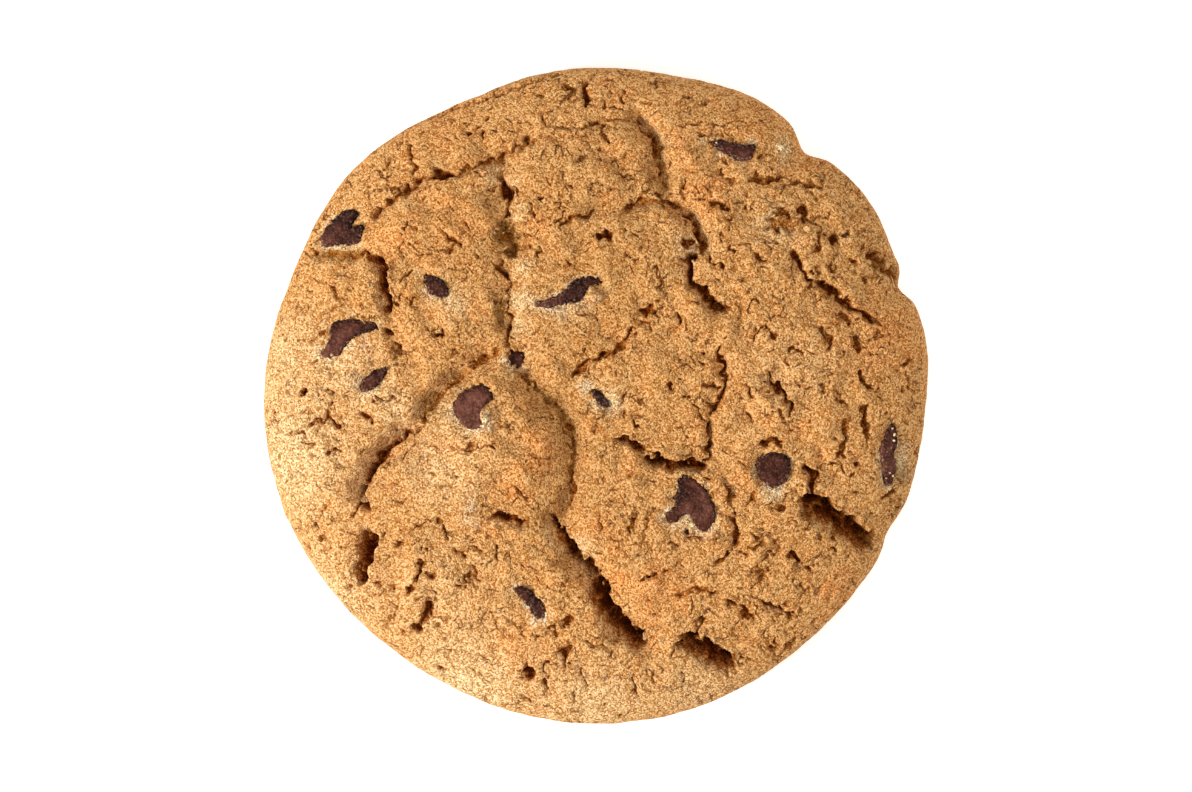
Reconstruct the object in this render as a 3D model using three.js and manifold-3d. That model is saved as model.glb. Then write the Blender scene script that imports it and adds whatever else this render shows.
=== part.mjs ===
// A large soft-baked chocolate chip cookie, 90 mm across: one round of browned dough with a domed,
// cracked crust, a rounded rim and a flat foot, and the chocolate chips that show in its top.
//
// Units are millimetres. The origin is the middle of the flat foot, +Z is up, and seen from above
// +X runs to the right and +Y away. Plan positions are given from the middle of the cookie.

import * as THREE from "three";
import { mergeVertices } from "three/addons/utils/BufferGeometryUtils.js";
import Module from "manifold-3d";

const wasm = await Module();
wasm.setup();

// Driving dimensions.
const MEAN_RADIUS = 45;
const CROWN_HEIGHT = 14.6; // the foot to the top of the dome, before the crust's own relief
const WAIST_HEIGHT = 5.2; // where the rim stands out furthest
const FOOT_SHARE = 0.925; // the flat foot's radius, as a share of the rim's
const DOME_POWER = 3.4; // how far out the dome stays level
const SHOULDER_POWER = 2.1; // how full the rounded rim is
const SKIN_DETAIL = 12; // how finely the dough's skin is divided
const FOOT_ANGLE = THREE.MathUtils.degToRad(138); // share of the starting ball that wraps the top and rim
const CHIP_GAP = 0.3; // clearance between a chip and its pocket
const CHIP_DEPTH = 3.2; // how deep a chip sits in the dough
const CHIP_PROUD = 0.35; // how far a chip stands out of the crust
const CHIP_DOME_RADIUS = 14; // how strongly a chip's top is domed
const CHIP_DOME_DETAIL = 7;
const CUT_CLEARANCE = 1.2; // how far a cutter reaches past the crust

const UP = new THREE.Vector3(0, 0, 1);

const COLOURS = { crust: "#c68e51", chocolate: "#4a2a22" };

// Where the rim bulges or is nicked: bearing and spread in degrees, and how far in or out.
const RIM_WAVES = [
  { bearing: 61, spread: 8, out: 1.25 },
  { bearing: 49.5, spread: 2.2, out: -1.6 },
  { bearing: 36, spread: 6, out: 0.95 },
  { bearing: 19.5, spread: 1.8, out: -1.3 },
  { bearing: 10, spread: 7, out: 0.8 },
  { bearing: 115, spread: 9, out: -0.9 },
  { bearing: 139, spread: 7, out: 0.45 },
  { bearing: 159, spread: 6, out: -0.35 },
  { bearing: 190, spread: 17, out: 0.55 },
  { bearing: 238, spread: 15, out: -0.55 },
  { bearing: 313, spread: 17, out: -0.65 },
  { bearing: 335, spread: 2.5, out: -0.7 },
];

// Plates and humps that the crust rose into as it baked.
const SWELLS = [
  { at: [-23, 33], reach: 7, rise: 0.8 },
  { at: [-21, 23], reach: 6, rise: 0.9 },
  { at: [-3, 30], reach: 6.5, rise: 0.9 },
  { at: [5, 17], reach: 6, rise: 0.65 },
  { at: [8, 2], reach: 6, rise: 0.8 },
  { at: [26, 6], reach: 9, rise: 1.0 },
  { at: [-14, -7], reach: 6.5, rise: 1.9 },
  { at: [-36, -12], reach: 6, rise: 0.65 },
  { at: [6, -23], reach: 6, rise: 1.4 },
  { at: [-22, -24], reach: 7, rise: 0.8 },
  { at: [24, -24], reach: 8, rise: 0.8 },
  { at: [-5, 12], reach: 4, rise: 0.65 },
];

// Broad soft troughs between the plates: the line each follows, its half width and its depth.
const TROUGHS = [
  {
    line: [[-13, 32], [-12, 25], [-12.2, 17], [-12, 8], [-9.5, 2.5], [-4.2, -3], [-3, -8], [-4.2, -16]],
    reach: 2.0,
    depth: 2.3,
  },
  { line: [[-12, 6], [-8, 1], [-4, -4], [-3, -9], [-3.4, -13]], reach: 3.0, depth: 1.4 },
  { line: [[-4.2, -16], [-3, -21.5], [0.5, -26], [3.5, -31.5], [7, -34]], reach: 2.0, depth: 2.4 },
  {
    line: [[6, 38.5], [8.4, 35], [9.2, 30], [9.6, 27.5], [12, 25.2], [14.6, 21.5]],
    reach: 1.5,
    depth: 2.0,
  },
  {
    line: [[14.6, 21.5], [12.8, 17.5], [16.5, 11.8], [17.3, 4], [15.6, -3], [15.6, -8]],
    reach: 1.0,
    depth: 0.7,
  },
  { line: [[9.6, 27], [6, 26], [0, 25.6]], reach: 1.2, depth: 1.0 },
  {
    line: [[-15, 5], [-18.5, 2.6], [-22.5, -1], [-24.6, -4.6], [-30, -8.4], [-32, -12.5]],
    reach: 1.9,
    depth: 2.1,
  },
  { line: [[-27, 12], [-26.6, 6], [-24, 1]], reach: 1.4, depth: 0.7 },
];

// Fissures in the crust: the line each follows, its greatest width and its depth.
const FISSURES = [
  { line: [[-30.6, 18.8], [-29.6, 15.5], [-28.4, 12.5], [-28, 9.8]], width: 1.5, depth: 3.4 },
  { line: [[-30.3, -17.8], [-30.9, -21], [-32, -23.8], [-32.3, -26.4]], width: 2.5, depth: 3.6 },
  { line: [[-27.5, -5.8], [-30.3, -8.4], [-31.9, -11.4], [-31.9, -15.4]], width: 1.6, depth: 3.0 },
  { line: [[11.2, -33.2], [13.8, -33.9], [16.4, -35.6], [19.3, -36.7]], width: 2.3, depth: 3.6 },
  { line: [[29.2, -14.1], [32.2, -15.6], [35.2, -17.4], [38, -20.6]], width: 3.0, depth: 4.2 },
  { line: [[27.4, -9], [29.1, -9.3], [29.9, -11.5], [29.6, -14.2]], width: 1.2, depth: 2.4 },
  { line: [[2.1, -5.7], [5.4, -7], [9, -9.1], [12.4, -9.8], [15.2, -8.9]], width: 1.3, depth: 2.8 },
  { line: [[28.6, 14.9], [31.3, 14.3], [34.8, 12.4], [38, 9.8]], width: 1.7, depth: 2.8 },
  { line: [[23, 3.5], [24.6, 1], [26.2, -1], [27, -2.2]], width: 0.9, depth: 1.9 },
  { line: [[26.4, 20.2], [27.6, 18.4], [29, 15.4]], width: 0.8, depth: 1.8 },
  { line: [[-30.7, 25.1], [-27, 27.3], [-24, 29.6], [-21, 30.1], [-17, 31.2]], width: 0.9, depth: 1.9 },
  { line: [[-17, 31.2], [-13, 33], [-9, 34.8], [-4, 36.9], [2.5, 37.7]], width: 0.8, depth: 1.6 },
  { line: [[5.6, 39], [6.6, 37], [8.5, 35.6], [9.3, 31.5], [9.6, 28.1]], width: 1.3, depth: 2.2 },
  { line: [[-2.4, 3.6], [1.6, 5.8], [4.4, 8.2], [6.2, 11.2], [8.8, 12]], width: 0.8, depth: 1.7 },
  { line: [[-5.3, 22.6], [-2, 24.2], [0.5, 26.8], [3.3, 28.4]], width: 0.7, depth: 1.4 },
  {
    line: [[13.2, 23.6], [14.7, 20.6], [12.4, 18.2], [13, 16], [15.2, 13], [18.3, 11.8]],
    width: 1.3,
    depth: 2.4,
  },
  {
    line: [[17.2, 7.6], [16.9, 5], [17.6, 2], [16.8, -1.5], [15.3, -5], [15.6, -8.6]],
    width: 0.9,
    depth: 2.0,
  },
  {
    line: [[36.2, 9.2], [35.9, 5.4], [36.4, 2.2], [37.9, 0.4], [37, -2.8], [37.1, -6.2]],
    width: 0.9,
    depth: 1.7,
  },
  { line: [[-6, -16], [-4.8, -19.8], [-1.5, -23], [0.8, -26.4]], width: 1.1, depth: 1.8 },
  { line: [[0.6, -27.6], [2.6, -30.6], [5, -32.9], [9, -33.5]], width: 1.7, depth: 3.0 },
  { line: [[-14.4, -16.2], [-12, -17.1], [-9.2, -17]], width: 1.3, depth: 2.0 },
  { line: [[-39, -3.8], [-36.6, -3.4], [-34.6, -4.4]], width: 1.0, depth: 1.6 },
  { line: [[-24.4, -21.9], [-24.3, -24.4], [-25.9, -27.4]], width: 0.8, depth: 1.6 },
  { line: [[-22.9, -27.5], [-23.4, -30], [-25.2, -32.4]], width: 1.0, depth: 1.9 },
  { line: [[22.2, -27.8], [24, -28.6], [26, -29.3], [26.8, -31]], width: 0.9, depth: 1.7 },
  { line: [[25.8, -20.4], [27.3, -22], [30.2, -23.7]], width: 1.2, depth: 1.9 },
  { line: [[-2.6, -33.8], [-4.2, -35], [-4.1, -37.8]], width: 1.2, depth: 2.0 },
  { line: [[37, 18.8], [39, 17.4], [41.6, 16]], width: 2.2, depth: 2.4 },
];

// Chocolate chips: the middle of each, and the outline of what shows of it, from that middle.
const CHIPS = [
  {
    at: [-34.7, 23],
    outline: [
      [-3.2, -1.2], [-2.5, 0.3], [-1, 1.8], [0.8, 2.7], [2.3, 1.8], [1.1, 0.5], [1.6, -0.1], [3.1, 0.2],
      [2.9, -1.3], [2.3, -2.3], [0, -2.4], [-2.5, -2.3],
    ],
  },
  {
    at: [-33.9, 8.2],
    outline: [
      [-3.8, -2.2], [-2.5, 0], [-2, 2], [0.7, 2.3], [3, 2], [4.3, 1.4], [3.3, 0.7], [1.7, 0], [0, -1],
      [-1.3, -2.5], [-3, -3],
    ],
  },
  {
    at: [-30.6, 2.4],
    outline: [[-1.7, -1.5], [-1.2, -0.4], [0, 0.9], [2, 1.5], [1.7, 0.4], [0.8, -0.9], [-1, -1.8]],
  },
  {
    at: [-22, 15.1],
    outline: [[-1.6, 1.4], [-0.6, 1.5], [0.9, 0.7], [1.9, -0.5], [1.5, -1.6], [-0.5, -0.9]],
  },
  {
    at: [-3.5, 14.3],
    outline: [
      [-4.8, -1.7], [-3, -1.1], [-1.3, -0.3], [0, 1], [1.4, 1.9], [3, 2.1], [4.4, 1.9], [4.2, 1], [2.7, 0.6],
      [1.9, -1.2], [0, -1.5], [-2, -2.1], [-3.7, -2.1],
    ],
  },
  {
    at: [-11.1, 5.2],
    outline: [[-1.3, 0.1], [-0.4, 1.3], [0.9, 1.1], [1.4, -0.1], [0.6, -1.4], [-0.7, -1.1]],
  },
  {
    at: [-16.9, -1.4],
    outline: [
      [-2.7, 0.6], [-1.3, 2.2], [0.5, 3.1], [2.2, 2.7], [2.7, 1.1], [1.3, -0.4], [1.1, -1.7], [1.5, -2.8],
      [0.4, -3.2], [-1.4, -2.1], [-2.5, -0.8],
    ],
  },
  { at: [0.3, -0.2], outline: [[-1.1, 1.2], [0.3, 0.8], [1.4, -0.5], [1.3, -1.4], [0.1, -0.8]] },
  {
    at: [18.7, 33.8],
    outline: [[-3.3, 1], [-1.9, 1.3], [0, 0.9], [1.8, 0.4], [2.9, 0.7], [2.8, -0.6], [1.7, -1.6], [-0.2, -1]],
  },
  {
    at: [24.2, -9.7],
    outline: [
      [-2.4, 0], [-1.8, 1.4], [0, 2.2], [1.5, 1.8], [2.3, 0.4], [2.1, -1.2], [0.4, -2.8], [-1.4, -1.9],
    ],
  },
  {
    at: [12.9, -14.7],
    outline: [
      [-1.7, 3.9], [0, 3.7], [1.7, 2.5], [2.8, 0.7], [3.3, -1.3], [2.8, -3.3], [1.7, -3.8], [0.6, -2.5],
      [0.1, -1.4], [-0.9, -1.4], [-1.9, -2.3], [-3.2, -2.4], [-3.5, -1.3], [-2, -0.3], [-2.4, 0.8], [-1.6, 2],
    ],
  },
  {
    at: [40.1, -7.5],
    outline: [
      [0.5, 4], [1.1, 2.6], [1, 0.8], [0.6, -0.7], [1.1, -2.2], [0.5, -4.6], [-0.4, -4.4], [-0.8, -2.2],
      [-1.3, 0], [-1, 1.6],
    ],
  },
  {
    at: [-9.2, -28],
    outline: [
      [-2.1, 2], [-0.9, 2.1], [1, 0.7], [2.1, -0.8], [2.1, -2.4], [1.3, -2.4], [0.5, -1.3], [-1, 0.7],
    ],
  },
];

// A smooth hump of height 1 that is down to 1/e at the given spread.
function bell(distance, spread) {
  return Math.exp(-((distance / spread) ** 2));
}

// How far the rim stands from the middle at a bearing, in radians.
function rimRadius(bearing) {
  const degrees = THREE.MathUtils.radToDeg(bearing);
  return RIM_WAVES.reduce((radius, wave) => {
    const off = THREE.MathUtils.euclideanModulo(degrees - wave.bearing + 180, 360) - 180;
    return radius + wave.out * bell(off, wave.spread * Math.SQRT2);
  }, MEAN_RADIUS);
}

// The dome's height at a share of the way from the middle to the rim.
function domeHeight(share) {
  const fall = 1 - Math.min(share, 1) ** DOME_POWER;
  return WAIST_HEIGHT + (CROWN_HEIGHT - WAIST_HEIGHT) * fall ** (1 / SHOULDER_POWER);
}

// The height of the rim's underside, which curls in from the waist to the foot.
function curlHeight(share) {
  const out = THREE.MathUtils.clamp((share - FOOT_SHARE) / (1 - FOOT_SHARE), 0, 1);
  return WAIST_HEIGHT * (1 - Math.sqrt(1 - out * out));
}

// The shortest distance in plan from a point to a line of points.
function distanceToLine(x, y, line) {
  let nearest = Infinity;
  for (let i = 1; i < line.length; i++) {
    const [ax, ay] = line[i - 1];
    const [bx, by] = line[i];
    const along = ((x - ax) * (bx - ax) + (y - ay) * (by - ay)) / ((bx - ax) ** 2 + (by - ay) ** 2);
    const t = THREE.MathUtils.clamp(along, 0, 1);
    nearest = Math.min(nearest, Math.hypot(x - ax - t * (bx - ax), y - ay - t * (by - ay)));
  }
  return nearest;
}

// The crust's broad relief over the dome: plates stand up and troughs go down.
function relief(x, y) {
  const swellings = SWELLS.map((s) => s.rise * bell(Math.hypot(x - s.at[0], y - s.at[1]), s.reach));
  const sinkings = TROUGHS.map((t) => t.depth * bell(distanceToLine(x, y, t.line), t.reach));
  return swellings.reduce((sum, rise) => sum + rise) - Math.max(...sinkings);
}

// The share of the relief that is left at a share of the way out, so that the rim stays round.
function reliefShare(share) {
  return 1 - THREE.MathUtils.smoothstep(share, 0.84, 0.99);
}

// The height of the crust, without its fissures, over a point in plan.
function crustHeight(x, y) {
  const share = Math.hypot(x, y) / rimRadius(Math.atan2(y, x));
  return domeHeight(share) + relief(x, y) * reliefShare(share);
}

// The side profile from the crown over the rim to the foot, as evenly walked shares and heights.
function sideProfile() {
  const STEPS = 240;
  const points = [];
  for (let i = 0; i <= STEPS; i++) {
    const share = Math.sin((i / STEPS) * (Math.PI / 2));
    points.push(new THREE.Vector2(share * MEAN_RADIUS, domeHeight(share)));
  }
  for (let i = 1; i <= STEPS; i++) {
    const share = 1 - (1 - FOOT_SHARE) * (1 - Math.cos((i / STEPS) * (Math.PI / 2)));
    points.push(new THREE.Vector2(share * MEAN_RADIUS, curlHeight(share)));
  }
  const path = new THREE.CurvePath();
  for (let i = 1; i < points.length; i++) {
    path.add(new THREE.LineCurve(points[i - 1], points[i]));
  }
  return path;
}

// A closed mesh whose vertices are shared, from a three.js geometry.
function closed(geometry) {
  const bare = geometry.clone();
  bare.deleteAttribute("normal");
  bare.deleteAttribute("uv");
  return mergeVertices(bare, 1e-4);
}

// A geometry as a solid that can be joined and cut.
function solid(geometry) {
  const mesh = closed(geometry);
  return new wasm.Manifold(
    new wasm.Mesh({
      numProp: 3,
      vertProperties: new Float32Array(mesh.attributes.position.array),
      triVerts: new Uint32Array(mesh.index.array),
    }),
  );
}

// A solid as a geometry to show.
function geometryOf(body) {
  const mesh = body.getMesh();
  const geometry = new THREE.BufferGeometry();
  geometry.setAttribute("position", new THREE.BufferAttribute(mesh.vertProperties, 3));
  geometry.setIndex(new THREE.BufferAttribute(mesh.triVerts, 1));
  geometry.computeVertexNormals();
  return geometry;
}

// Moves every vertex of a geometry to where a function puts it.
function reshape(geometry, place) {
  const position = geometry.attributes.position;
  const point = new THREE.Vector3();
  for (let i = 0; i < position.count; i++) {
    place(point.fromBufferAttribute(position, i));
    position.setXYZ(i, point.x, point.y, point.z);
  }
  return geometry;
}

// The round of dough before it cracked: a ball whose skin is laid over the dome, the rim and the foot.
function doughRound() {
  const profile = sideProfile();
  const wrapped = 1 - Math.cos(FOOT_ANGLE);
  const ball = closed(new THREE.IcosahedronGeometry(1, SKIN_DETAIL));
  return reshape(ball, (point) => {
    const bearing = Math.atan2(point.y, point.x);
    const fromCrown = 1 - point.z;
    let share;
    let height;
    if (fromCrown < wrapped) {
      const at = profile.getPointAt(Math.sqrt(fromCrown / wrapped));
      share = at.x / MEAN_RADIUS;
      height = at.y;
    } else {
      share = FOOT_SHARE * Math.sqrt((1 + point.z) / (2 - wrapped));
      height = 0;
    }
    const radius = share * rimRadius(bearing);
    point.set(radius * Math.cos(bearing), radius * Math.sin(bearing), height);
    if (height > WAIST_HEIGHT) point.z += relief(point.x, point.y) * reliefShare(share);
  });
}

// A V-shaped cutter that opens a fissure along its line, narrow and shallow at both ends.
function fissureCutter({ line, width, depth }) {
  const path = new THREE.SplineCurve(line.map(([x, y]) => new THREE.Vector2(x, y)));
  const steps = 2 * line.length;
  const keelUp = new THREE.CylinderGeometry(1, 1, 1, 3, steps, false, Math.PI);
  return reshape(keelUp, (point) => {
    const t = point.y + 0.5;
    const centre = path.getPointAt(t);
    const along = path.getTangentAt(t);
    const swell = 0.12 + 0.88 * Math.sin(Math.PI * t) ** 0.7;
    const halfAtCrust = (width / 2) * swell;
    const deep = depth * swell;
    const half = halfAtCrust * (1 + CUT_CLEARANCE / deep);
    const side = Math.abs(point.x) < 0.1 ? 0 : Math.sign(point.x);
    const x = centre.x + along.y * side * half;
    const y = centre.y - along.x * side * half;
    const keel = crustHeight(centre.x, centre.y) - deep;
    const top = crustHeight(x, y) + CUT_CLEARANCE;
    const isCapMiddle = side === 0 && point.z > -0.5;
    if (side !== 0) point.set(x, y, top);
    else if (isCapMiddle) point.set(x, y, (keel + 2 * top) / 3);
    else point.set(x, y, keel);
  });
}

// A chip's outline as a smooth closed shape, let out all round by a margin.
function chipShape(outline, margin) {
  const loop = new THREE.CatmullRomCurve3(
    outline.map(([x, y]) => new THREE.Vector3(x, y, 0)),
    true,
    "centripetal",
  );
  const count = 2 * outline.length;
  const points = [];
  for (let i = 0; i < count; i++) {
    const at = loop.getPoint(i / count);
    const out = loop.getTangent(i / count).cross(UP).normalize();
    if (THREE.ShapeUtils.area(outline.map(([x, y]) => new THREE.Vector2(x, y))) < 0) out.negate();
    points.push(new THREE.Vector2(at.x + out.x * margin, at.y + out.y * margin));
  }
  return new THREE.Shape(points);
}

// Puts a solid made about the origin at a place on the crust, leaning as the crust does there.
function layOnCrust(geometry, [x, y]) {
  const reach = 1.5;
  const slopeX = (crustHeight(x + reach, y) - crustHeight(x - reach, y)) / (2 * reach);
  const slopeY = (crustHeight(x, y + reach) - crustHeight(x, y - reach)) / (2 * reach);
  const normal = new THREE.Vector3(-slopeX, -slopeY, 1).normalize();
  const lean = new THREE.Quaternion().setFromUnitVectors(UP, normal);
  return geometry.applyQuaternion(lean).translate(x, y, crustHeight(x, y));
}

// A chip: a slab of chocolate whose domed top stands just proud of the crust.
function chipGeometry({ at, outline }) {
  const slab = new THREE.ExtrudeGeometry(chipShape(outline, 0), {
    depth: CHIP_DEPTH + CHIP_PROUD,
    bevelEnabled: false,
  });
  const dome = new THREE.IcosahedronGeometry(CHIP_DOME_RADIUS, CHIP_DOME_DETAIL);
  dome.translate(0, 0, CHIP_PROUD - CHIP_DOME_RADIUS);
  const domed = solid(slab.translate(0, 0, -CHIP_DEPTH)).intersect(solid(dome));
  return layOnCrust(geometryOf(domed), at);
}

// The pocket that a chip sits in, open at the top.
function pocketCutter({ at, outline }) {
  const plug = new THREE.ExtrudeGeometry(chipShape(outline, CHIP_GAP), {
    depth: CHIP_DEPTH + CHIP_GAP + 3 * CUT_CLEARANCE,
    bevelEnabled: false,
  });
  return layOnCrust(plug.translate(0, 0, -CHIP_DEPTH - CHIP_GAP), at);
}

// The dough with its fissures opened and a pocket cut for each chip.
function doughSolid() {
  const cutters = [...FISSURES.map(fissureCutter), ...CHIPS.map(pocketCutter)].map(solid);
  const cut = cutters.reduce((body, cutter) => body.subtract(cutter), solid(doughRound()));
  return cut.decompose().reduce((largest, piece) => (piece.volume() > largest.volume() ? piece : largest));
}

const crust = new THREE.MeshStandardMaterial({ color: COLOURS.crust, roughness: 0.9, metalness: 0 });
const chocolate = new THREE.MeshStandardMaterial({ color: COLOURS.chocolate, roughness: 0.45, metalness: 0 });

// One named node of the cookie.
function part(name, geometry, material) {
  const mesh = new THREE.Mesh(geometry, material);
  mesh.name = name;
  return mesh;
}

const cookie = new THREE.Group();
cookie.add(part("dough", geometryOf(doughSolid()), crust));
CHIPS.forEach((chip, i) => {
  cookie.add(part(`chip_${String(i + 1).padStart(2, "0")}`, chipGeometry(chip), chocolate));
});

// The middle of the foot's box becomes the origin.
const middle = new THREE.Box3().setFromObject(cookie).getCenter(new THREE.Vector3());
cookie.children.forEach((mesh) => mesh.position.set(-middle.x, -middle.y, 0));

export default cookie;
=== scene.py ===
"""A large soft-baked chocolate chip cookie: its crust, chips and crumbs, dressed around the CAD frame.

Lengths in the feature tables and grids are millimetres, counted from the middle of the cookie, +X right
and +Y away. Blender's own positions are metres. The crust is described on an unrolled sheet: a point on it
lies at its bearing, and at its distance along the skin from the crown, so that the rim isn't squeezed.
"""

import logging
import math
from dataclasses import dataclass, field
from enum import Enum

import bmesh
import bpy
import numpy as np
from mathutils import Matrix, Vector


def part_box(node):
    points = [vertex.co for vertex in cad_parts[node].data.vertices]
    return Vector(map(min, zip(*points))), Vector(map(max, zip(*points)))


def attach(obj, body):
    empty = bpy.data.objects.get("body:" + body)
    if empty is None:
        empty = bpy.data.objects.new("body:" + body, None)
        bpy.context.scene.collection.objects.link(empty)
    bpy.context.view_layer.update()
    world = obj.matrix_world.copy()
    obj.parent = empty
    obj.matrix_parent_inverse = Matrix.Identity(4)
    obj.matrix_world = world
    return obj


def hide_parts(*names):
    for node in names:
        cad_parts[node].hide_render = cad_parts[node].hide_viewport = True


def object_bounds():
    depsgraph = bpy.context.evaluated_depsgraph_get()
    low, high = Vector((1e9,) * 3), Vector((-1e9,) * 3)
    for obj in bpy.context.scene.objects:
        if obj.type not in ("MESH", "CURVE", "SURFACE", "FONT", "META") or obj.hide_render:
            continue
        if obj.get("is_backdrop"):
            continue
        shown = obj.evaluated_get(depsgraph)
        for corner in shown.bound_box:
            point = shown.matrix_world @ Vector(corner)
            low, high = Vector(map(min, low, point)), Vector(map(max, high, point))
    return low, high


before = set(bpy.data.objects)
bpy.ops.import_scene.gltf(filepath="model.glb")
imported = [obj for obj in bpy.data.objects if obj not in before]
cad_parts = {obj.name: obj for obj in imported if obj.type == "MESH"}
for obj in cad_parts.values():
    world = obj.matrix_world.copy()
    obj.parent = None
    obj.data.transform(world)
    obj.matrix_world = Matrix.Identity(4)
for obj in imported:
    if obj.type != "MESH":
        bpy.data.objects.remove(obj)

log = logging.getLogger("cookie")

MM = 0.001

# A line seen from above: its points' positions to the right and away, in turn.
Line = tuple[float, ...]
# A window of the sheet: its rows and its columns.
Spot = tuple[slice, slice]


# ---------------------------------------------------------------- small tools

def smooth(low: float | np.ndarray, high: float | np.ndarray, value: np.ndarray) -> np.ndarray:
    """Rises smoothly from 0 at low to 1 at high.

    Args:
        low: where the rise starts.
        high: where it ends.
        value: what is measured.

    Returns:
        The rise at each value, 0 to 1.
    """
    t = np.clip((value - low) / (high - low), 0, 1)
    return t * t * (3 - 2 * t)


def bell(distance: np.ndarray, reach: float) -> np.ndarray:
    """A hump of height 1 that is down to 1/e at reach."""
    return np.exp(-((distance / reach) ** 2))


def raise_to(grid: np.ndarray, spot: Spot, values: np.ndarray) -> None:
    """Raises a grid to at least some values in a window."""
    grid[spot] = np.maximum(grid[spot], values)


def linear(hex_colour: str) -> tuple[float, float, float, float]:
    """Turns an sRGB hex colour to the linear one that shaders take.

    Args:
        hex_colour: six hex digits.

    Returns:
        Linear red, green, blue and an alpha of 1.
    """
    parts = [int(hex_colour[i : i + 2], 16) / 255 for i in (0, 2, 4)]
    red, green, blue = (c / 12.92 if c <= 0.04045 else ((c + 0.055) / 1.055) ** 2.4 for c in parts)
    return red, green, blue, 1.0


def feed(tree: bpy.types.NodeTree, node: bpy.types.Node, inputs: dict) -> None:
    """Sets a node's inputs, by name or number, to values or to the output sockets that feed them."""
    for name, value in inputs.items():
        if isinstance(value, bpy.types.NodeSocket):
            tree.links.new(value, node.inputs[name])
        else:
            node.inputs[name].default_value = value


def add(
    tree: bpy.types.NodeTree, kind: str, inputs: dict | None = None, out: str = "", **settings
) -> bpy.types.NodeSocket:
    """Adds a shader node with its settings, and links or sets its inputs.

    Args:
        tree: the material's node tree.
        kind: the node's type.
        inputs: what goes into it.
        out: the output that is wanted, where it isn't the first one.
        **settings: the node's own properties.

    Returns:
        The wanted output.
    """
    node = tree.nodes.new(kind)
    for name, value in settings.items():
        setattr(node, name, value)
    feed(tree, node, inputs or {})
    return node.outputs[out] if out else next(socket for socket in node.outputs if socket.enabled)


def blank_material(name: str) -> tuple:
    """Makes a material: itself, its tree, its shader, and the place on the object that feeds its patterns."""
    material = bpy.data.materials.new(name)
    material.use_nodes = True
    tree = material.node_tree
    return material, tree, tree.nodes["Principled BSDF"], add(tree, "ShaderNodeTexCoord", out="Object")


def mesh_object(name: str, points: np.ndarray, faces: np.ndarray | list) -> bpy.types.Object:
    """Makes a smooth-shaded mesh object from points in metres.

    Args:
        name: the object's name.
        points: one row for each vertex.
        faces: vertex numbers of each face.

    Returns:
        The object, linked to the scene.
    """
    mesh = bpy.data.meshes.new(name)
    faces = np.asarray(faces, dtype=np.int32)
    corners = faces.shape[1]
    mesh.vertices.add(len(points))
    mesh.vertices.foreach_set("co", np.asarray(points, dtype=np.float32).ravel())
    mesh.loops.add(faces.size)
    mesh.loops.foreach_set("vertex_index", faces.ravel())
    mesh.polygons.add(len(faces))
    mesh.polygons.foreach_set("loop_start", np.arange(0, faces.size, corners, dtype=np.int32))
    mesh.polygons.foreach_set("use_smooth", np.ones(len(faces), dtype=bool))
    mesh.update(calc_edges=True)
    mesh.validate()
    made = bpy.data.objects.new(name, mesh)
    bpy.context.scene.collection.objects.link(made)
    return made


def apply_modifier(target: bpy.types.Object, kind: str, **settings) -> None:
    """Adds a modifier to an object and applies it.

    Args:
        target: the mesh object.
        kind: the modifier's type.
        **settings: its properties.
    """
    modifier = target.modifiers.new(kind.lower(), kind)
    for name, value in settings.items():
        setattr(modifier, name, value)
    bpy.context.view_layer.update()
    shaped = bpy.data.meshes.new_from_object(target.evaluated_get(bpy.context.evaluated_depsgraph_get()))
    target.modifiers.clear()
    target.data = shaped


def per_vertex(target: bpy.types.Object, of: str = "vertices", what: str = "co") -> np.ndarray:
    """The vertices of a mesh object in metres, or their normals, one row each."""
    found = np.empty(len(target.data.vertices) * 3, dtype=np.float32)
    getattr(target.data, of).foreach_get(what, found)
    return found.reshape(-1, 3).astype(float)


def store(target: bpy.types.Object, name: str, values: np.ndarray) -> None:
    """Stores one number for each vertex, for the material to read."""
    layer = target.data.attributes.new(name, "FLOAT", "POINT")
    layer.data.foreach_set("value", values.astype(np.float32))


def set_vertices(target: bpy.types.Object, points: np.ndarray) -> None:
    """Moves a mesh object's vertices to new places, in metres."""
    target.data.vertices.foreach_set("co", points.astype(np.float32).ravel())
    target.data.update()


# ---------------------------------------------------------------- the cookie's form

@dataclass(frozen=True)
class RimWave:
    """A bulge or a nick of the rim: bearing and spread in degrees, and how far out it goes."""

    bearing: float
    spread: float
    out: float


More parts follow.
